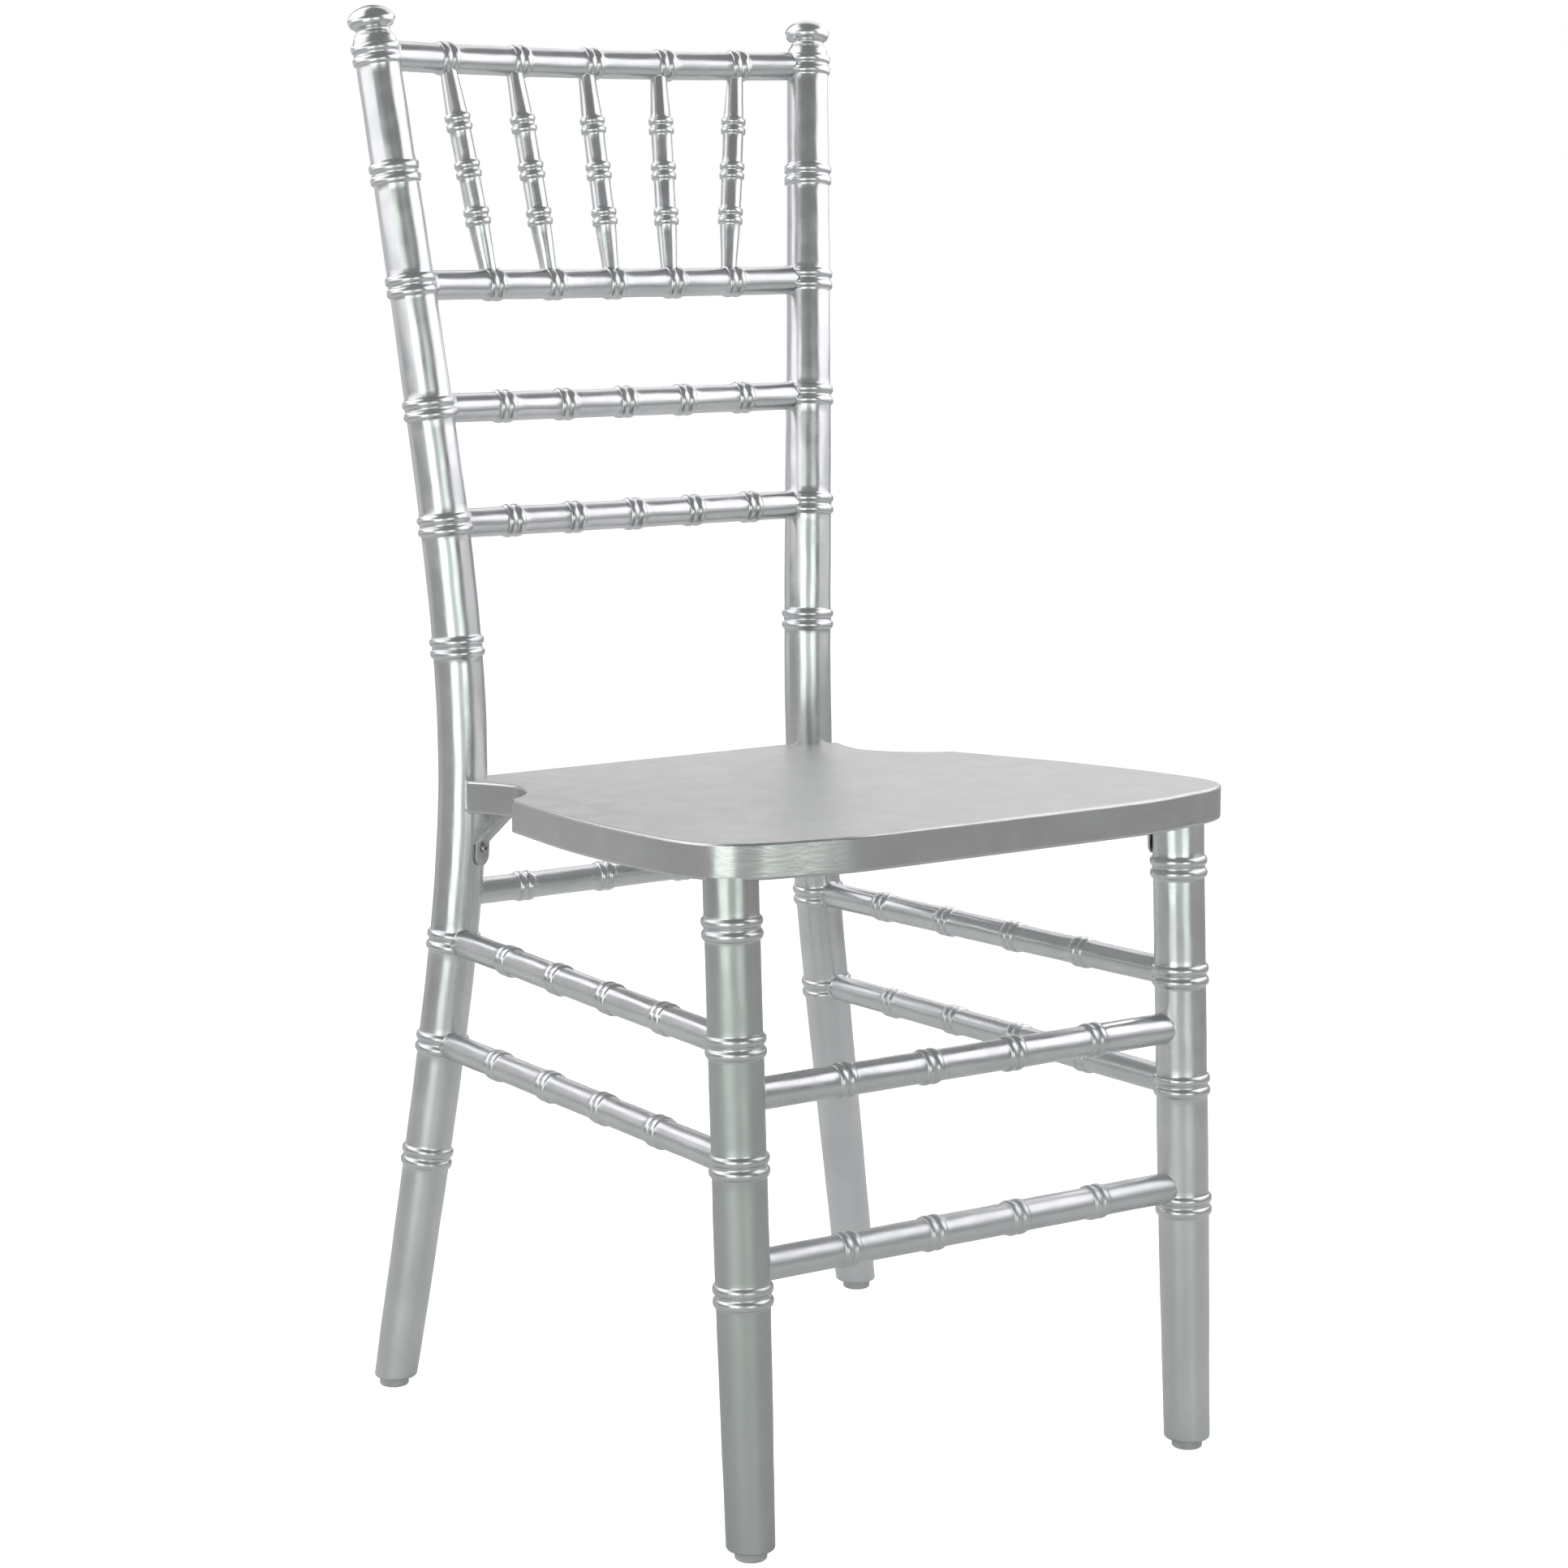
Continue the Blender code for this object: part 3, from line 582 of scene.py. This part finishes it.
def seat_outline():
    """Outline of the plank seen from above, clockwise from the right of its rear edge."""
    neck = [*SEAT_NECK[:2], *smooth_points(SEAT_NECK[2:], 6)]
    notch = bulged_points(SEAT_NECK[-1], SEAT_SIDE[0], SEAT_NOTCH_DEPTH, 16)
    right = [*neck, *notch, *smooth_points(SEAT_SIDE, 8)]
    left = [(-x, y) for x, y in reversed(right)]
    depth = SEAT_REAR_Y - SEAT_SIDE[-1][1]
    return [(x + SEAT_DRIFT * (SEAT_REAR_Y - y) / depth, y) for x, y in right + left]


def seat_point(x, y, level):
    """A point of the sloping seat: level is measured down from its top face."""
    top = SEAT_TOP_Z + SEAT_SLOPE * (y - LEG_Y_AT_SEAT)
    return Vector((x, y, top - level))


def make_seat(material):
    bm = bmesh.new()
    outline = seat_outline()
    skin_stack(bm, [[bm.verts.new(seat_point(x, y, level)) for x, y in outline]
                    for level in (SEAT_THICKNESS, 0)])
    seat = add_piece("seat", mesh_of(bm, "seat", sharp_degrees=30), material)
    ease = seat.modifiers.new("eased edges", "BEVEL")
    ease.width = 0.0019
    ease.segments = 5
    ease.limit_method = "ANGLE"
    ease.angle_limit = math.radians(50)


# ---------------------------------------------------------------- brackets
class Corner:
    """Where a bracket sits: its directions along the seat, down the leg and across."""

    def __init__(self, row, side):
        word = "left" if side < 0 else "right"
        self.name = f"{row}_{word}"
        self.slant = BRACKET_SLANT[row]
        self.drop = self.slant + BRACKET_LEG_TAB[row]
        self.reach = self.slant + BRACKET_SEAT_TAB
        self.leg_inset = LEG_SCREW_INSET[row]
        axis = post_axis(side) if row == "back" else leg_axis(side)
        radius = (post_radius if row == "back" else leg_radius)(BRACKET_HEIGHT)
        ahead = -1 if row == "back" else 1
        self.outer = -side * ahead
        out = Vector((-side * math.sin(BRACKET_TURN), ahead * math.cos(BRACKET_TURN), 0))
        start = axis(BRACKET_HEIGHT) + out * (radius + 2 * GAP)
        start.z = seat_point(start.x, start.y, SEAT_THICKNESS + 2 * GAP).z
        self.origin = start
        self.along = Vector((out.x, out.y, SEAT_SLOPE * out.y)).normalized()
        self.across = Vector((-out.y, out.x, SEAT_SLOPE * out.x)).normalized()
        self.down = (axis(start.z - self.drop) - axis(start.z)).normalized()

    def place(self, a, b, c):
        return self.origin + self.along * a + self.down * b + self.across * c

    def screw_axes(self):
        """(underside of the head, direction into the wood) of each screw."""
        leg = self.place(BRACKET_THICKNESS + GAP, self.drop - self.leg_inset, 0)
        seat = self.place(self.reach - SEAT_SCREW_INSET, BRACKET_THICKNESS + GAP, 0)
        return {"leg": (leg, -self.along), "seat": (seat, -self.down)}


def strap_path(corner):
    """(along, down, direction away from the wood) stations, with rounded knees."""
    bend_end = corner.slant + BRACKET_KNEE * math.tan(math.radians(22.5))
    closing = [BRACKET_TIP * (1 - math.cos(math.radians(t))) for t in (12, 25, 38, 50, 62, 76, 90)]
    path = [(corner.reach - d, 0, 90) for d in closing]
    for centre_along, centre_down, first in ((bend_end, BRACKET_KNEE, 90),
                                             (BRACKET_KNEE, bend_end, 45)):
        for k in range(KNEE_STEPS + 1):
            angle = first - 45 * k / KNEE_STEPS
            t = math.radians(angle)
            path.append((centre_along - BRACKET_KNEE * math.cos(t),
                         centre_down - BRACKET_KNEE * math.sin(t), angle))
    path += [(0, corner.drop - d, 0) for d in reversed(closing)]
    return path


def strap_section(half):
    """A flat bar's section with eased corners: (across, away from the wood) points."""
    thick = BRACKET_THICKNESS
    ease = thick * 0.3
    soft = ease * 0.3
    right = [(half - ease, 0), (half - soft, soft), (half, ease), (half, thick - ease),
             (half - soft, thick - soft), (half - ease, thick)]
    return right + [(-c, t) for c, t in reversed(right)]


def add_strap(bm, corner):
    """The bent bar, flat on the seat and on the leg, with rounded ends."""
    tip = BRACKET_TIP
    loops = []
    for a, b, angle in strap_path(corner):
        away = Vector((math.cos(math.radians(angle)), math.sin(math.radians(angle))))
        to_end = min(max(0, corner.reach - a) if angle == 90 else tip,
                     max(0, corner.drop - b) if angle == 0 else tip, tip)
        half = BRACKET_WIDTH / 2 - tip + math.sqrt(max(0, tip * tip - (tip - to_end) ** 2))
        loops.append([bm.verts.new(corner.place(a + away.x * t, b + away.y * t, c))
                      for c, t in strap_section(half)])
    skin_stack(bm, loops)


def add_web(bm, corner):
    """The gusset that closes the strap's corner on its outer side, pressed in a little."""
    inset, ease = 0.0003, 0.0003
    into_leg = -0.0021
    reach = corner.slant + BRACKET_THICKNESS * 0.6
    outline = [(into_leg, inset), (into_leg, reach), (inset, reach), (reach, inset)]
    middle = reach / 3
    loops = []
    for edge, shrink in ((0, ease), (ease, 0), (BRACKET_THICKNESS - ease, 0),
                         (BRACKET_THICKNESS, ease)):
        across = corner.outer * (BRACKET_WIDTH / 2 - 0.0002 - edge)
        scale = 1 - shrink / middle
        loops.append([bm.verts.new(corner.place(middle + (a - middle) * scale,
                                                middle + (b - middle) * scale, across))
                      for a, b in outline])
    skin_stack(bm, loops)


def cross_recess(x, y):
    """Depth of a cross-shaped driver recess at (x, y) on a screw's head."""
    reach, half_slot, depth, wall = 0.0019, 0.00042, 0.0012, 0.00018
    arm = max(min(half_slot - abs(x), reach - abs(y)), min(half_slot - abs(y), reach - abs(x)))
    return depth * min(1, max(0, arm / wall))


def screw_profile():
    """A pan head's dome from its middle out, then its rim, its shank and its point."""
    head, height, shank = SCREW_HEAD_RADIUS, SCREW_HEAD_HEIGHT, SCREW_RADIUS
    dome = []
    for k in range(1, 17):
        part = k / 18
        dome.append((-height * (1 - 0.42 * part ** 4), head * part))
    rim = [(-height * 0.50, head * 0.955), (-height * 0.38, head * 0.985),
           (-height * 0.22, head), (-height * 0.05, head), (0.0, head * 0.97)]
    return dome + rim + [(0.0001, shank), (SCREW_LENGTH - 0.003, shank),
                         (SCREW_LENGTH, shank * 0.3)]


def make_brackets(material):
    for row in ("front", "back"):
        for side in (-1, 1):
            corner = Corner(row, side)
            bm = bmesh.new()
            add_strap(bm, corner)
            add_web(bm, corner)
            name = f"bracket_{corner.name}"
            add_piece(name, mesh_of(bm, name, sharp_degrees=40), material)
            for part, (head, into) in corner.screw_axes().items():
                bm = bmesh.new()
                add_turned(bm, straight_axis(head, into), screw_profile(), SCREW_SIDES,
                           cross_recess)
                name = f"screw_{part}_{corner.name}"
                add_piece(name, mesh_of(bm, name, sharp_degrees=35), material)


# ---------------------------------------------------------------- glides
def glide_section():
    """(height, radius) points round the section of a glide: foot side, rim, sole, well."""
    hole = NAIL_RADIUS + GAP
    points = [(GLIDE_HEIGHT, hole), (GLIDE_HEIGHT, GLIDE_RADIUS - 0.0004),
              (GLIDE_HEIGHT - 0.0003, GLIDE_RADIUS)]
    for k in range(7):
        t = math.radians(15 * k)
        points.append((GLIDE_EASE * (1 - math.sin(t)),
                       GLIDE_RADIUS - GLIDE_EASE * (1 - math.cos(t))))
    points += [(0, GLIDE_WELL_RADIUS + 0.0004), (0.0003, GLIDE_WELL_RADIUS),
               (GLIDE_WELL_DEPTH, GLIDE_WELL_RADIUS), (GLIDE_WELL_DEPTH, hole)]
    return points


def nail_profile():
    """A nail from the middle of its domed head, which faces the floor, up to its point."""
    bottom, top, head = NAIL_HEAD
    dome = [(bottom + 0.0007 * (t / head) ** 2, t) for t in np.linspace(0.0004, head, 8)]
    return dome + [(top, head), (top + 0.0001, NAIL_RADIUS), (NAIL_LENGTH - 0.002, NAIL_RADIUS),
                   (NAIL_LENGTH, NAIL_RADIUS * 0.4)]


def add_glide(bm, foot):
    sections = []
    for k in range(GLIDE_SIDES):
        angle = 2 * math.pi * k / GLIDE_SIDES
        sections.append([bm.verts.new(foot + Vector((radius * math.cos(angle),
                                                     radius * math.sin(angle), z)))
                         for z, radius in glide_section()])
    skin_hoop(bm, sections)


def make_glides(plastic, steel):
    for row, axis_of in (("front", leg_axis), ("back", post_axis)):
        for side, word in ((-1, "left"), (1, "right")):
            foot = axis_of(side)(0)
            bm = bmesh.new()
            add_glide(bm, foot)
            name = f"glide_{row}_{word}"
            add_piece(name, mesh_of(bm, name, sharp_degrees=50), plastic)
            bm = bmesh.new()
            add_turned(bm, straight_axis(foot, Vector((0, 0, 1))), nail_profile(), NAIL_SIDES)
            name = f"glide_nail_{row}_{word}"
            add_piece(name, mesh_of(bm, name, sharp_degrees=40), steel)


# ---------------------------------------------------------------- materials
SILVER_LIGHT = (0.715, 0.717, 0.73, 1)
SILVER_DARK = (0.66, 0.665, 0.675, 1)
SEAT_LIGHT = (0.63, 0.63, 0.632, 1)
SEAT_DARK = (0.595, 0.595, 0.595, 1)
SCUFF_GREY = (0.50, 0.50, 0.51, 1)
# The darker green-grey that one front leg's whole coat is mixed towards.
DARKER_GREEN_GREY = (0.44, 0.465, 0.445, 1)
ZINC_DARK = (0.47, 0.475, 0.47, 1)
ZINC_LIGHT = (0.60, 0.605, 0.61, 1)
ZINC_SPECK = (0.22, 0.21, 0.19, 1)
NYLON_DARK = (0.50, 0.51, 0.50, 1)
NYLON_LIGHT = (0.58, 0.59, 0.58, 1)
NYLON_WORN = (0.66, 0.66, 0.65, 1)


class Shade:
    """A material and short ways to add nodes to it.

    Noise scales and the factors of a place count features for each metre.
    """

    def __init__(self, name, roughness, metallic):
        self.material = bpy.data.materials.new(name)
        self.material.use_nodes = True
        self.tree = self.material.node_tree
        self.shader = self.tree.nodes["Principled BSDF"]
        self.shader.inputs["Roughness"].default_value = roughness
        self.shader.inputs["Metallic"].default_value = metallic

    def put(self, socket, value):
        """Link a node's output to a socket, or set the socket to a plain value."""
        if isinstance(value, bpy.types.NodeSocket):
            self.tree.links.new(value, socket)
        else:
            socket.default_value = value

    def node(self, kind, inputs=(), **settings):
        node = self.tree.nodes.new(kind)
        for key, value in settings.items():
            setattr(node, key, value)
        for key, value in dict(inputs).items():
            self.put(node.inputs[key], value)
        return node

    def math(self, operation, a, b):
        return self.node("ShaderNodeMath", {0: a, 1: b}, operation=operation).outputs[0]

    def times(self, a, b):
        return self.math("MULTIPLY", a, b)

    def total(self, *heights):
        result = heights[0]
        for height in heights[1:]:
            result = self.math("ADD", result, height)
        return result

    def place(self, scale=(1, 1, 1), turning=False):
        """Object coordinates, or the turning map, stretched by scale."""
        if turning:
            source = self.node("ShaderNodeUVMap", uv_map="turning").outputs["UV"]
        else:
            source = self.node("ShaderNodeTexCoord").outputs["Object"]
        return self.node("ShaderNodeVectorMath", {0: source, 1: scale},
                         operation="MULTIPLY").outputs[0]

    def up(self, vector):
        """The Z of a vector."""
        return self.node("ShaderNodeSeparateXYZ", {0: vector}).outputs["Z"]

    def noise(self, vector, scale=1.0, detail=2.0, rough=0.5):
        return self.node("ShaderNodeTexNoise", {"Vector": vector, "Scale": scale,
                                                "Detail": detail,
                                                "Roughness": rough}).outputs["Fac"]

    def span(self, value, low, high, new_low, new_high):
        """Map low..high to new_low..new_high smoothly, and hold the ends."""
        return self.node("ShaderNodeMapRange",
                         {"Value": value, "From Min": low, "From Max": high,
                          "To Min": new_low, "To Max": new_high},
                         interpolation_type="SMOOTHSTEP").outputs["Result"]

    def mix(self, amount, a, b):
        """The colour a, or b where amount is 1; 6 and 7 are a colour mix's two inputs."""
        node = self.node("ShaderNodeMix", data_type="RGBA")
        self.put(node.inputs[0], amount)
        self.put(node.inputs[6], a)
        self.put(node.inputs[7], b)
        return node.outputs[2]

    def finish(self, colour, roughness, height):
        """Join colour, roughness and a height in metres to the shader."""
        bump = self.node("ShaderNodeBump", {"Height": height, "Distance": 1.0, "Strength": 1.0})
        self.put(self.shader.inputs["Base Color"], colour)
        self.put(self.shader.inputs["Roughness"], roughness)
        self.put(self.shader.inputs["Normal"], bump.outputs["Normal"])
        return self.material


def lathe_marks(shade):
    """Heights of the fine rings from a lathe, and of the wood's grain along the piece."""
    lathe = shade.noise(shade.place((0.6, 1400, 0), turning=True), detail=2)
    grain = shade.noise(shade.place((70, 16, 0), turning=True), detail=3)
    return shade.total(shade.times(lathe, 0.000002), shade.times(grain, 0.000004))


def plank_marks(shade, top):
    """Heights of sanding lines, of brush strokes where top isn't 1, and of slow waves."""
    sanded = shade.noise(shade.place((9, 260, 260)), detail=3, rough=0.6)
    brushed = shade.noise(shade.place((90, 90, 420)), detail=3, rough=0.6)
    waves = shade.noise(shade.place((5, 24, 40)), detail=2)
    return shade.total(shade.times(sanded, 0.000005),
                       shade.times(brushed, shade.span(top, 0, 1, 0.00012, 0)),
                       shade.times(waves, 0.00008))


def silver_paint(name, turned, relief, dulled, darkening=0.0):
    """Silver paint on wood: soft clouds, orange peel, pits, scuffs and traces of the tool.

    Turned pieces show the marks of a lathe; the seat shows a plank's, and is rougher on top.
    Relief scales every bump at once.  Dulled says how the paint loses its gloss near the
    floor: fully below the first height, not at all above the second, and by how much.
    The last argument mixes the whole coat towards a darker green-grey, and less so the rubbed
    beads.
    """
    shade = Shade(name, 0.3, 1.0)
    anywhere = shade.place()
    cells = shade.node("ShaderNodeTexVoronoi", {"Vector": anywhere, "Scale": 260})
    hole = shade.span(cells.outputs["Distance"], 0.06, 0.17, 1, 0)
    chance = shade.span(shade.noise(anywhere, 90, 1), 0.50, 0.62, 0, 1)
    pit = shade.times(hole, chance)
    along = anywhere if turned else shade.place((0.35, 1, 1))
    scuff = shade.span(shade.noise(along, 130, 4, 0.6), 0.66, 0.78, 0, 1)
    rough = shade.span(shade.noise(anywhere, 60, 3), 0.3, 0.7, 0.20, 0.28)
    if turned:
        marks = lathe_marks(shade)
        dark, light = SILVER_DARK, SILVER_LIGHT
        clouding, scuffing, pit_depth = 1.0, 0.25, 0.000014
    else:
        facing_up = shade.up(shade.node("ShaderNodeNewGeometry").outputs["Normal"])
        top = shade.span(facing_up, 0.5, 0.9, 0, 1)
        marks = plank_marks(shade, top)
        rough = shade.total(rough, shade.times(top, 0.17))
        dark, light = SEAT_DARK, SEAT_LIGHT
        clouding, scuffing, pit_depth = 0.6, 0.1, 0.0000014

    cloud = shade.noise(anywhere, 28, 3)
    tone = shade.span(cloud, 0.3, 0.7, 0.5 - clouding / 2, 0.5 + clouding / 2)
    colour = shade.mix(tone, dark, light)
    worn = shade.times(shade.math("MAXIMUM", pit, scuff), scuffing)
    colour = shade.mix(worn, colour, SCUFF_GREY)
    rubbed = shade.node("ShaderNodeAttribute", attribute_name="rubbed").outputs["Fac"]
    # The coat is mixed towards a darker green-grey by the given amount, less so on the rubbed
    # beads.
    colour = shade.mix(shade.span(rubbed, 0, 1, darkening, 0.3 * darkening), colour, DARKER_GREEN_GREY)

    low, high, loss = dulled
    dull = shade.times(shade.span(shade.up(anywhere), low, high, loss, 0),
                       shade.span(rubbed, 0, 1, 1, 0.25))
    rough = shade.total(rough, dull, shade.times(worn, 0.2))

    peel = shade.times(shade.noise(anywhere, 420, 2), 0.000006)
    dent = shade.times(pit, -pit_depth)
    speck = shade.times(shade.noise(anywhere, 1500, 1), 0.0000035)
    bumps = shade.times(shade.total(peel, dent, speck, marks), relief)
    return shade.finish(colour, rough, bumps)


def zinc_steel(name):
    """Thin zinc on pressed steel: rolled streaks, grey bloom and a few dark specks."""
    shade = Shade(name, 0.35, 1.0)
    anywhere = shade.place()
    bloom = shade.noise(anywhere, 160, 3, 0.6)
    streak = shade.noise(shade.place((900, 900, 90)), detail=2)
    speck = shade.span(shade.noise(anywhere, 700, 2), 0.66, 0.74, 0, 1)
    colour = shade.mix(shade.span(bloom, 0.3, 0.7, 0, 1), ZINC_DARK, ZINC_LIGHT)
    colour = shade.mix(shade.times(speck, 0.6), colour, ZINC_SPECK)
    rough = shade.span(bloom, 0.25, 0.75, 0.28, 0.46)
    bumps = shade.total(shade.times(streak, 0.000006), shade.times(bloom, 0.00002))
    return shade.finish(colour, rough, bumps)


def grey_plastic(name):
    """Moulded nylon, paler and rougher where it rubs the floor."""
    shade = Shade(name, 0.5, 0.0)
    anywhere = shade.place()
    cloud = shade.noise(anywhere, 220, 3)
    worn = shade.times(shade.span(shade.up(anywhere), 0.0, 0.0022, 1, 0),
                       shade.span(shade.noise(anywhere, 900, 3), 0.40, 0.62, 0, 1))
    colour = shade.mix(shade.span(cloud, 0.3, 0.7, 0, 1), NYLON_DARK, NYLON_LIGHT)
    colour = shade.mix(worn, colour, NYLON_WORN)
    rough = shade.total(shade.span(cloud, 0.3, 0.7, 0.42, 0.56), shade.times(worn, 0.25))
    bumps = shade.total(shade.times(shade.noise(anywhere, 1600, 2), 0.00001),
                        shade.times(worn, -0.00004))
    return shade.finish(colour, rough, bumps)


# ---------------------------------------------------------------- the whole chair
def make_chair():
    silver = silver_paint("silver_paint", turned=True, relief=1.5, dulled=(0.17, 0.33, 0.13))
    # The left front leg's coat is duller, and mixed darker and greener all over.
    dull_darker_silver = silver_paint("silver_paint_dull_darker", turned=True, relief=1.8,
                              dulled=(0.29, 0.46, 0.20), darkening=0.65)
    smooth_silver = silver_paint("silver_paint_rails", turned=True, relief=0.25,
                                 dulled=(0.17, 0.33, 0.11))
    flat_silver = silver_paint("silver_paint_seat", turned=False, relief=1.0,
                               dulled=(0.17, 0.33, 0.13))
    uprights = make_uprights(silver, {"left": dull_darker_silver, "right": silver})
    rails = make_cross_pieces(uprights, smooth_silver)
    make_spindles(rails["top_rail"], rails["spindle_rail"], silver)
    make_seat(flat_silver)
    steel = zinc_steel("zinc_steel")
    make_brackets(steel)
    make_glides(grey_plastic("grey_plastic"), steel)


# ---------------------------------------------------------------- floor, light, camera
WHITE = (1, 1, 1)
COOL_WHITE = (0.98, 0.98, 1)
GREEN_WHITE = (0.89, 1, 0.91)
PAPER_WHITE = (0.71, 0.72, 0.71, 1)
STUDIO_GREY = (0.25, 0.255, 0.255, 1)


def make_floor():
    """Pale paper, lifted to white for the camera so that it meets the backdrop unseen."""
    bpy.ops.mesh.primitive_circle_add(vertices=96, radius=30, fill_type="NGON")
    floor = bpy.context.object
    floor.name = "floor"
    shade = Shade("floor_paper", 0.9, 0.0)
    seen = shade.node("ShaderNodeLightPath").outputs["Is Camera Ray"]
    shade.shader.inputs["Base Color"].default_value = PAPER_WHITE
    shade.shader.inputs["Emission Color"].default_value = (*WHITE, 1)
    reach = shade.node("ShaderNodeVectorMath", {0: shade.place()}, operation="LENGTH")
    far = shade.span(reach.outputs["Value"], 1.0, 3.5, 0, 0.20)
    glow = shade.total(shade.times(seen, 0.75), far)
    shade.put(shade.shader.inputs["Emission Strength"], glow)
    floor.data.materials.append(shade.material)


def make_camera():
    data = bpy.data.cameras.new("camera")
    camera = bpy.data.objects.new("camera", data)
    bpy.context.scene.collection.objects.link(camera)
    data.sensor_width = 36
    data.lens = 81.03
    data.shift_x = 0.0004
    data.shift_y = 0.0043
    camera.location = (-1.2853, -1.8741, 0.7916)
    camera.rotation_euler = (math.radians(80.612), 0, math.radians(-34.542))
    bpy.context.scene.camera = camera


def soft_box(name, centre, aim, width, height, radiance, colour):
    """A rectangular studio light that the camera doesn't see."""
    light = bpy.data.lights.new(name, "AREA")
    light.shape = "RECTANGLE"
    light.size = width
    light.size_y = height
    light.energy = radiance * math.pi * width * height
    light.color = colour
    lamp = bpy.data.objects.new(name, light)
    bpy.context.scene.collection.objects.link(lamp)
    lamp.location = centre
    lamp.rotation_euler = (Vector(aim) - Vector(centre)).to_track_quat("-Z", "Y").to_euler()
    lamp.visible_camera = False


def make_lights():
    """Boxes on all sides, whose reflections draw the streaks along the turned pieces."""
    middle = (0, 0.1, 0.65)
    soft_box("right_box", (1.05, -0.28, 1.20), middle, 2.2, 1.1, 1.32, COOL_WHITE)
    soft_box("right_low", (1.25, -0.50, 0.52), (0, 0, 0.52), 2.0, 0.30, 0.45, COOL_WHITE)
    soft_box("left_box", (-0.90, 1.12, 1.88), middle, 2.9, 1.6, 1.3, COOL_WHITE)
    soft_box("left_wall", (-1.52, 0.49, 0.92), (0, 0.1, 0.92), 2.1, 0.55, 1.15, COOL_WHITE)
    soft_box("back_box", (1.0, 0.95, 1.70), middle, 1.2, 1.2, 0.9, COOL_WHITE)
    soft_box("backdrop_glow", (0.9, 1.6, 0.78), (0, 0.1, 0.62), 1.9, 0.46, 0.98, WHITE)
    soft_box("backdrop_left", (-0.8, 2.2, 0.80), middle, 1.7, 1.3, 0.3, WHITE)
    soft_box("front_left_box", (-1.20, -0.68, 0.51), (0, 0, 0.51), 0.76, 0.78, 1.5, GREEN_WHITE)
    soft_box("front_box", (-0.25, -3.00, 0.57), (0, 0, 0.57), 1.3, 1.1, 1.3, GREEN_WHITE)
    soft_box("front_fill", (-1.70, -2.60, 0.55), (0, 0, 0.55), 3.2, 0.75, 0.65, GREEN_WHITE)


def make_world():
    """Dim even light all round, and a white backdrop for the camera alone."""
    world = bpy.data.worlds.new("studio")
    world.use_nodes = True
    tree = world.node_tree
    studio = tree.nodes["Background"]
    studio.inputs["Color"].default_value = STUDIO_GREY
    backdrop = tree.nodes.new("ShaderNodeBackground")
    backdrop.inputs["Color"].default_value = (*WHITE, 1)
    choice = tree.nodes.new("ShaderNodeMixShader")
    path = tree.nodes.new("ShaderNodeLightPath")
    tree.links.new(path.outputs["Is Camera Ray"], choice.inputs[0])
    tree.links.new(studio.outputs[0], choice.inputs[1])
    tree.links.new(backdrop.outputs[0], choice.inputs[2])
    tree.links.new(choice.outputs[0], tree.nodes["World Output"].inputs["Surface"])
    bpy.context.scene.world = world


make_chair()
make_floor()
make_camera()
make_lights()
make_world()
bpy.context.scene.view_settings.view_transform = "Standard"
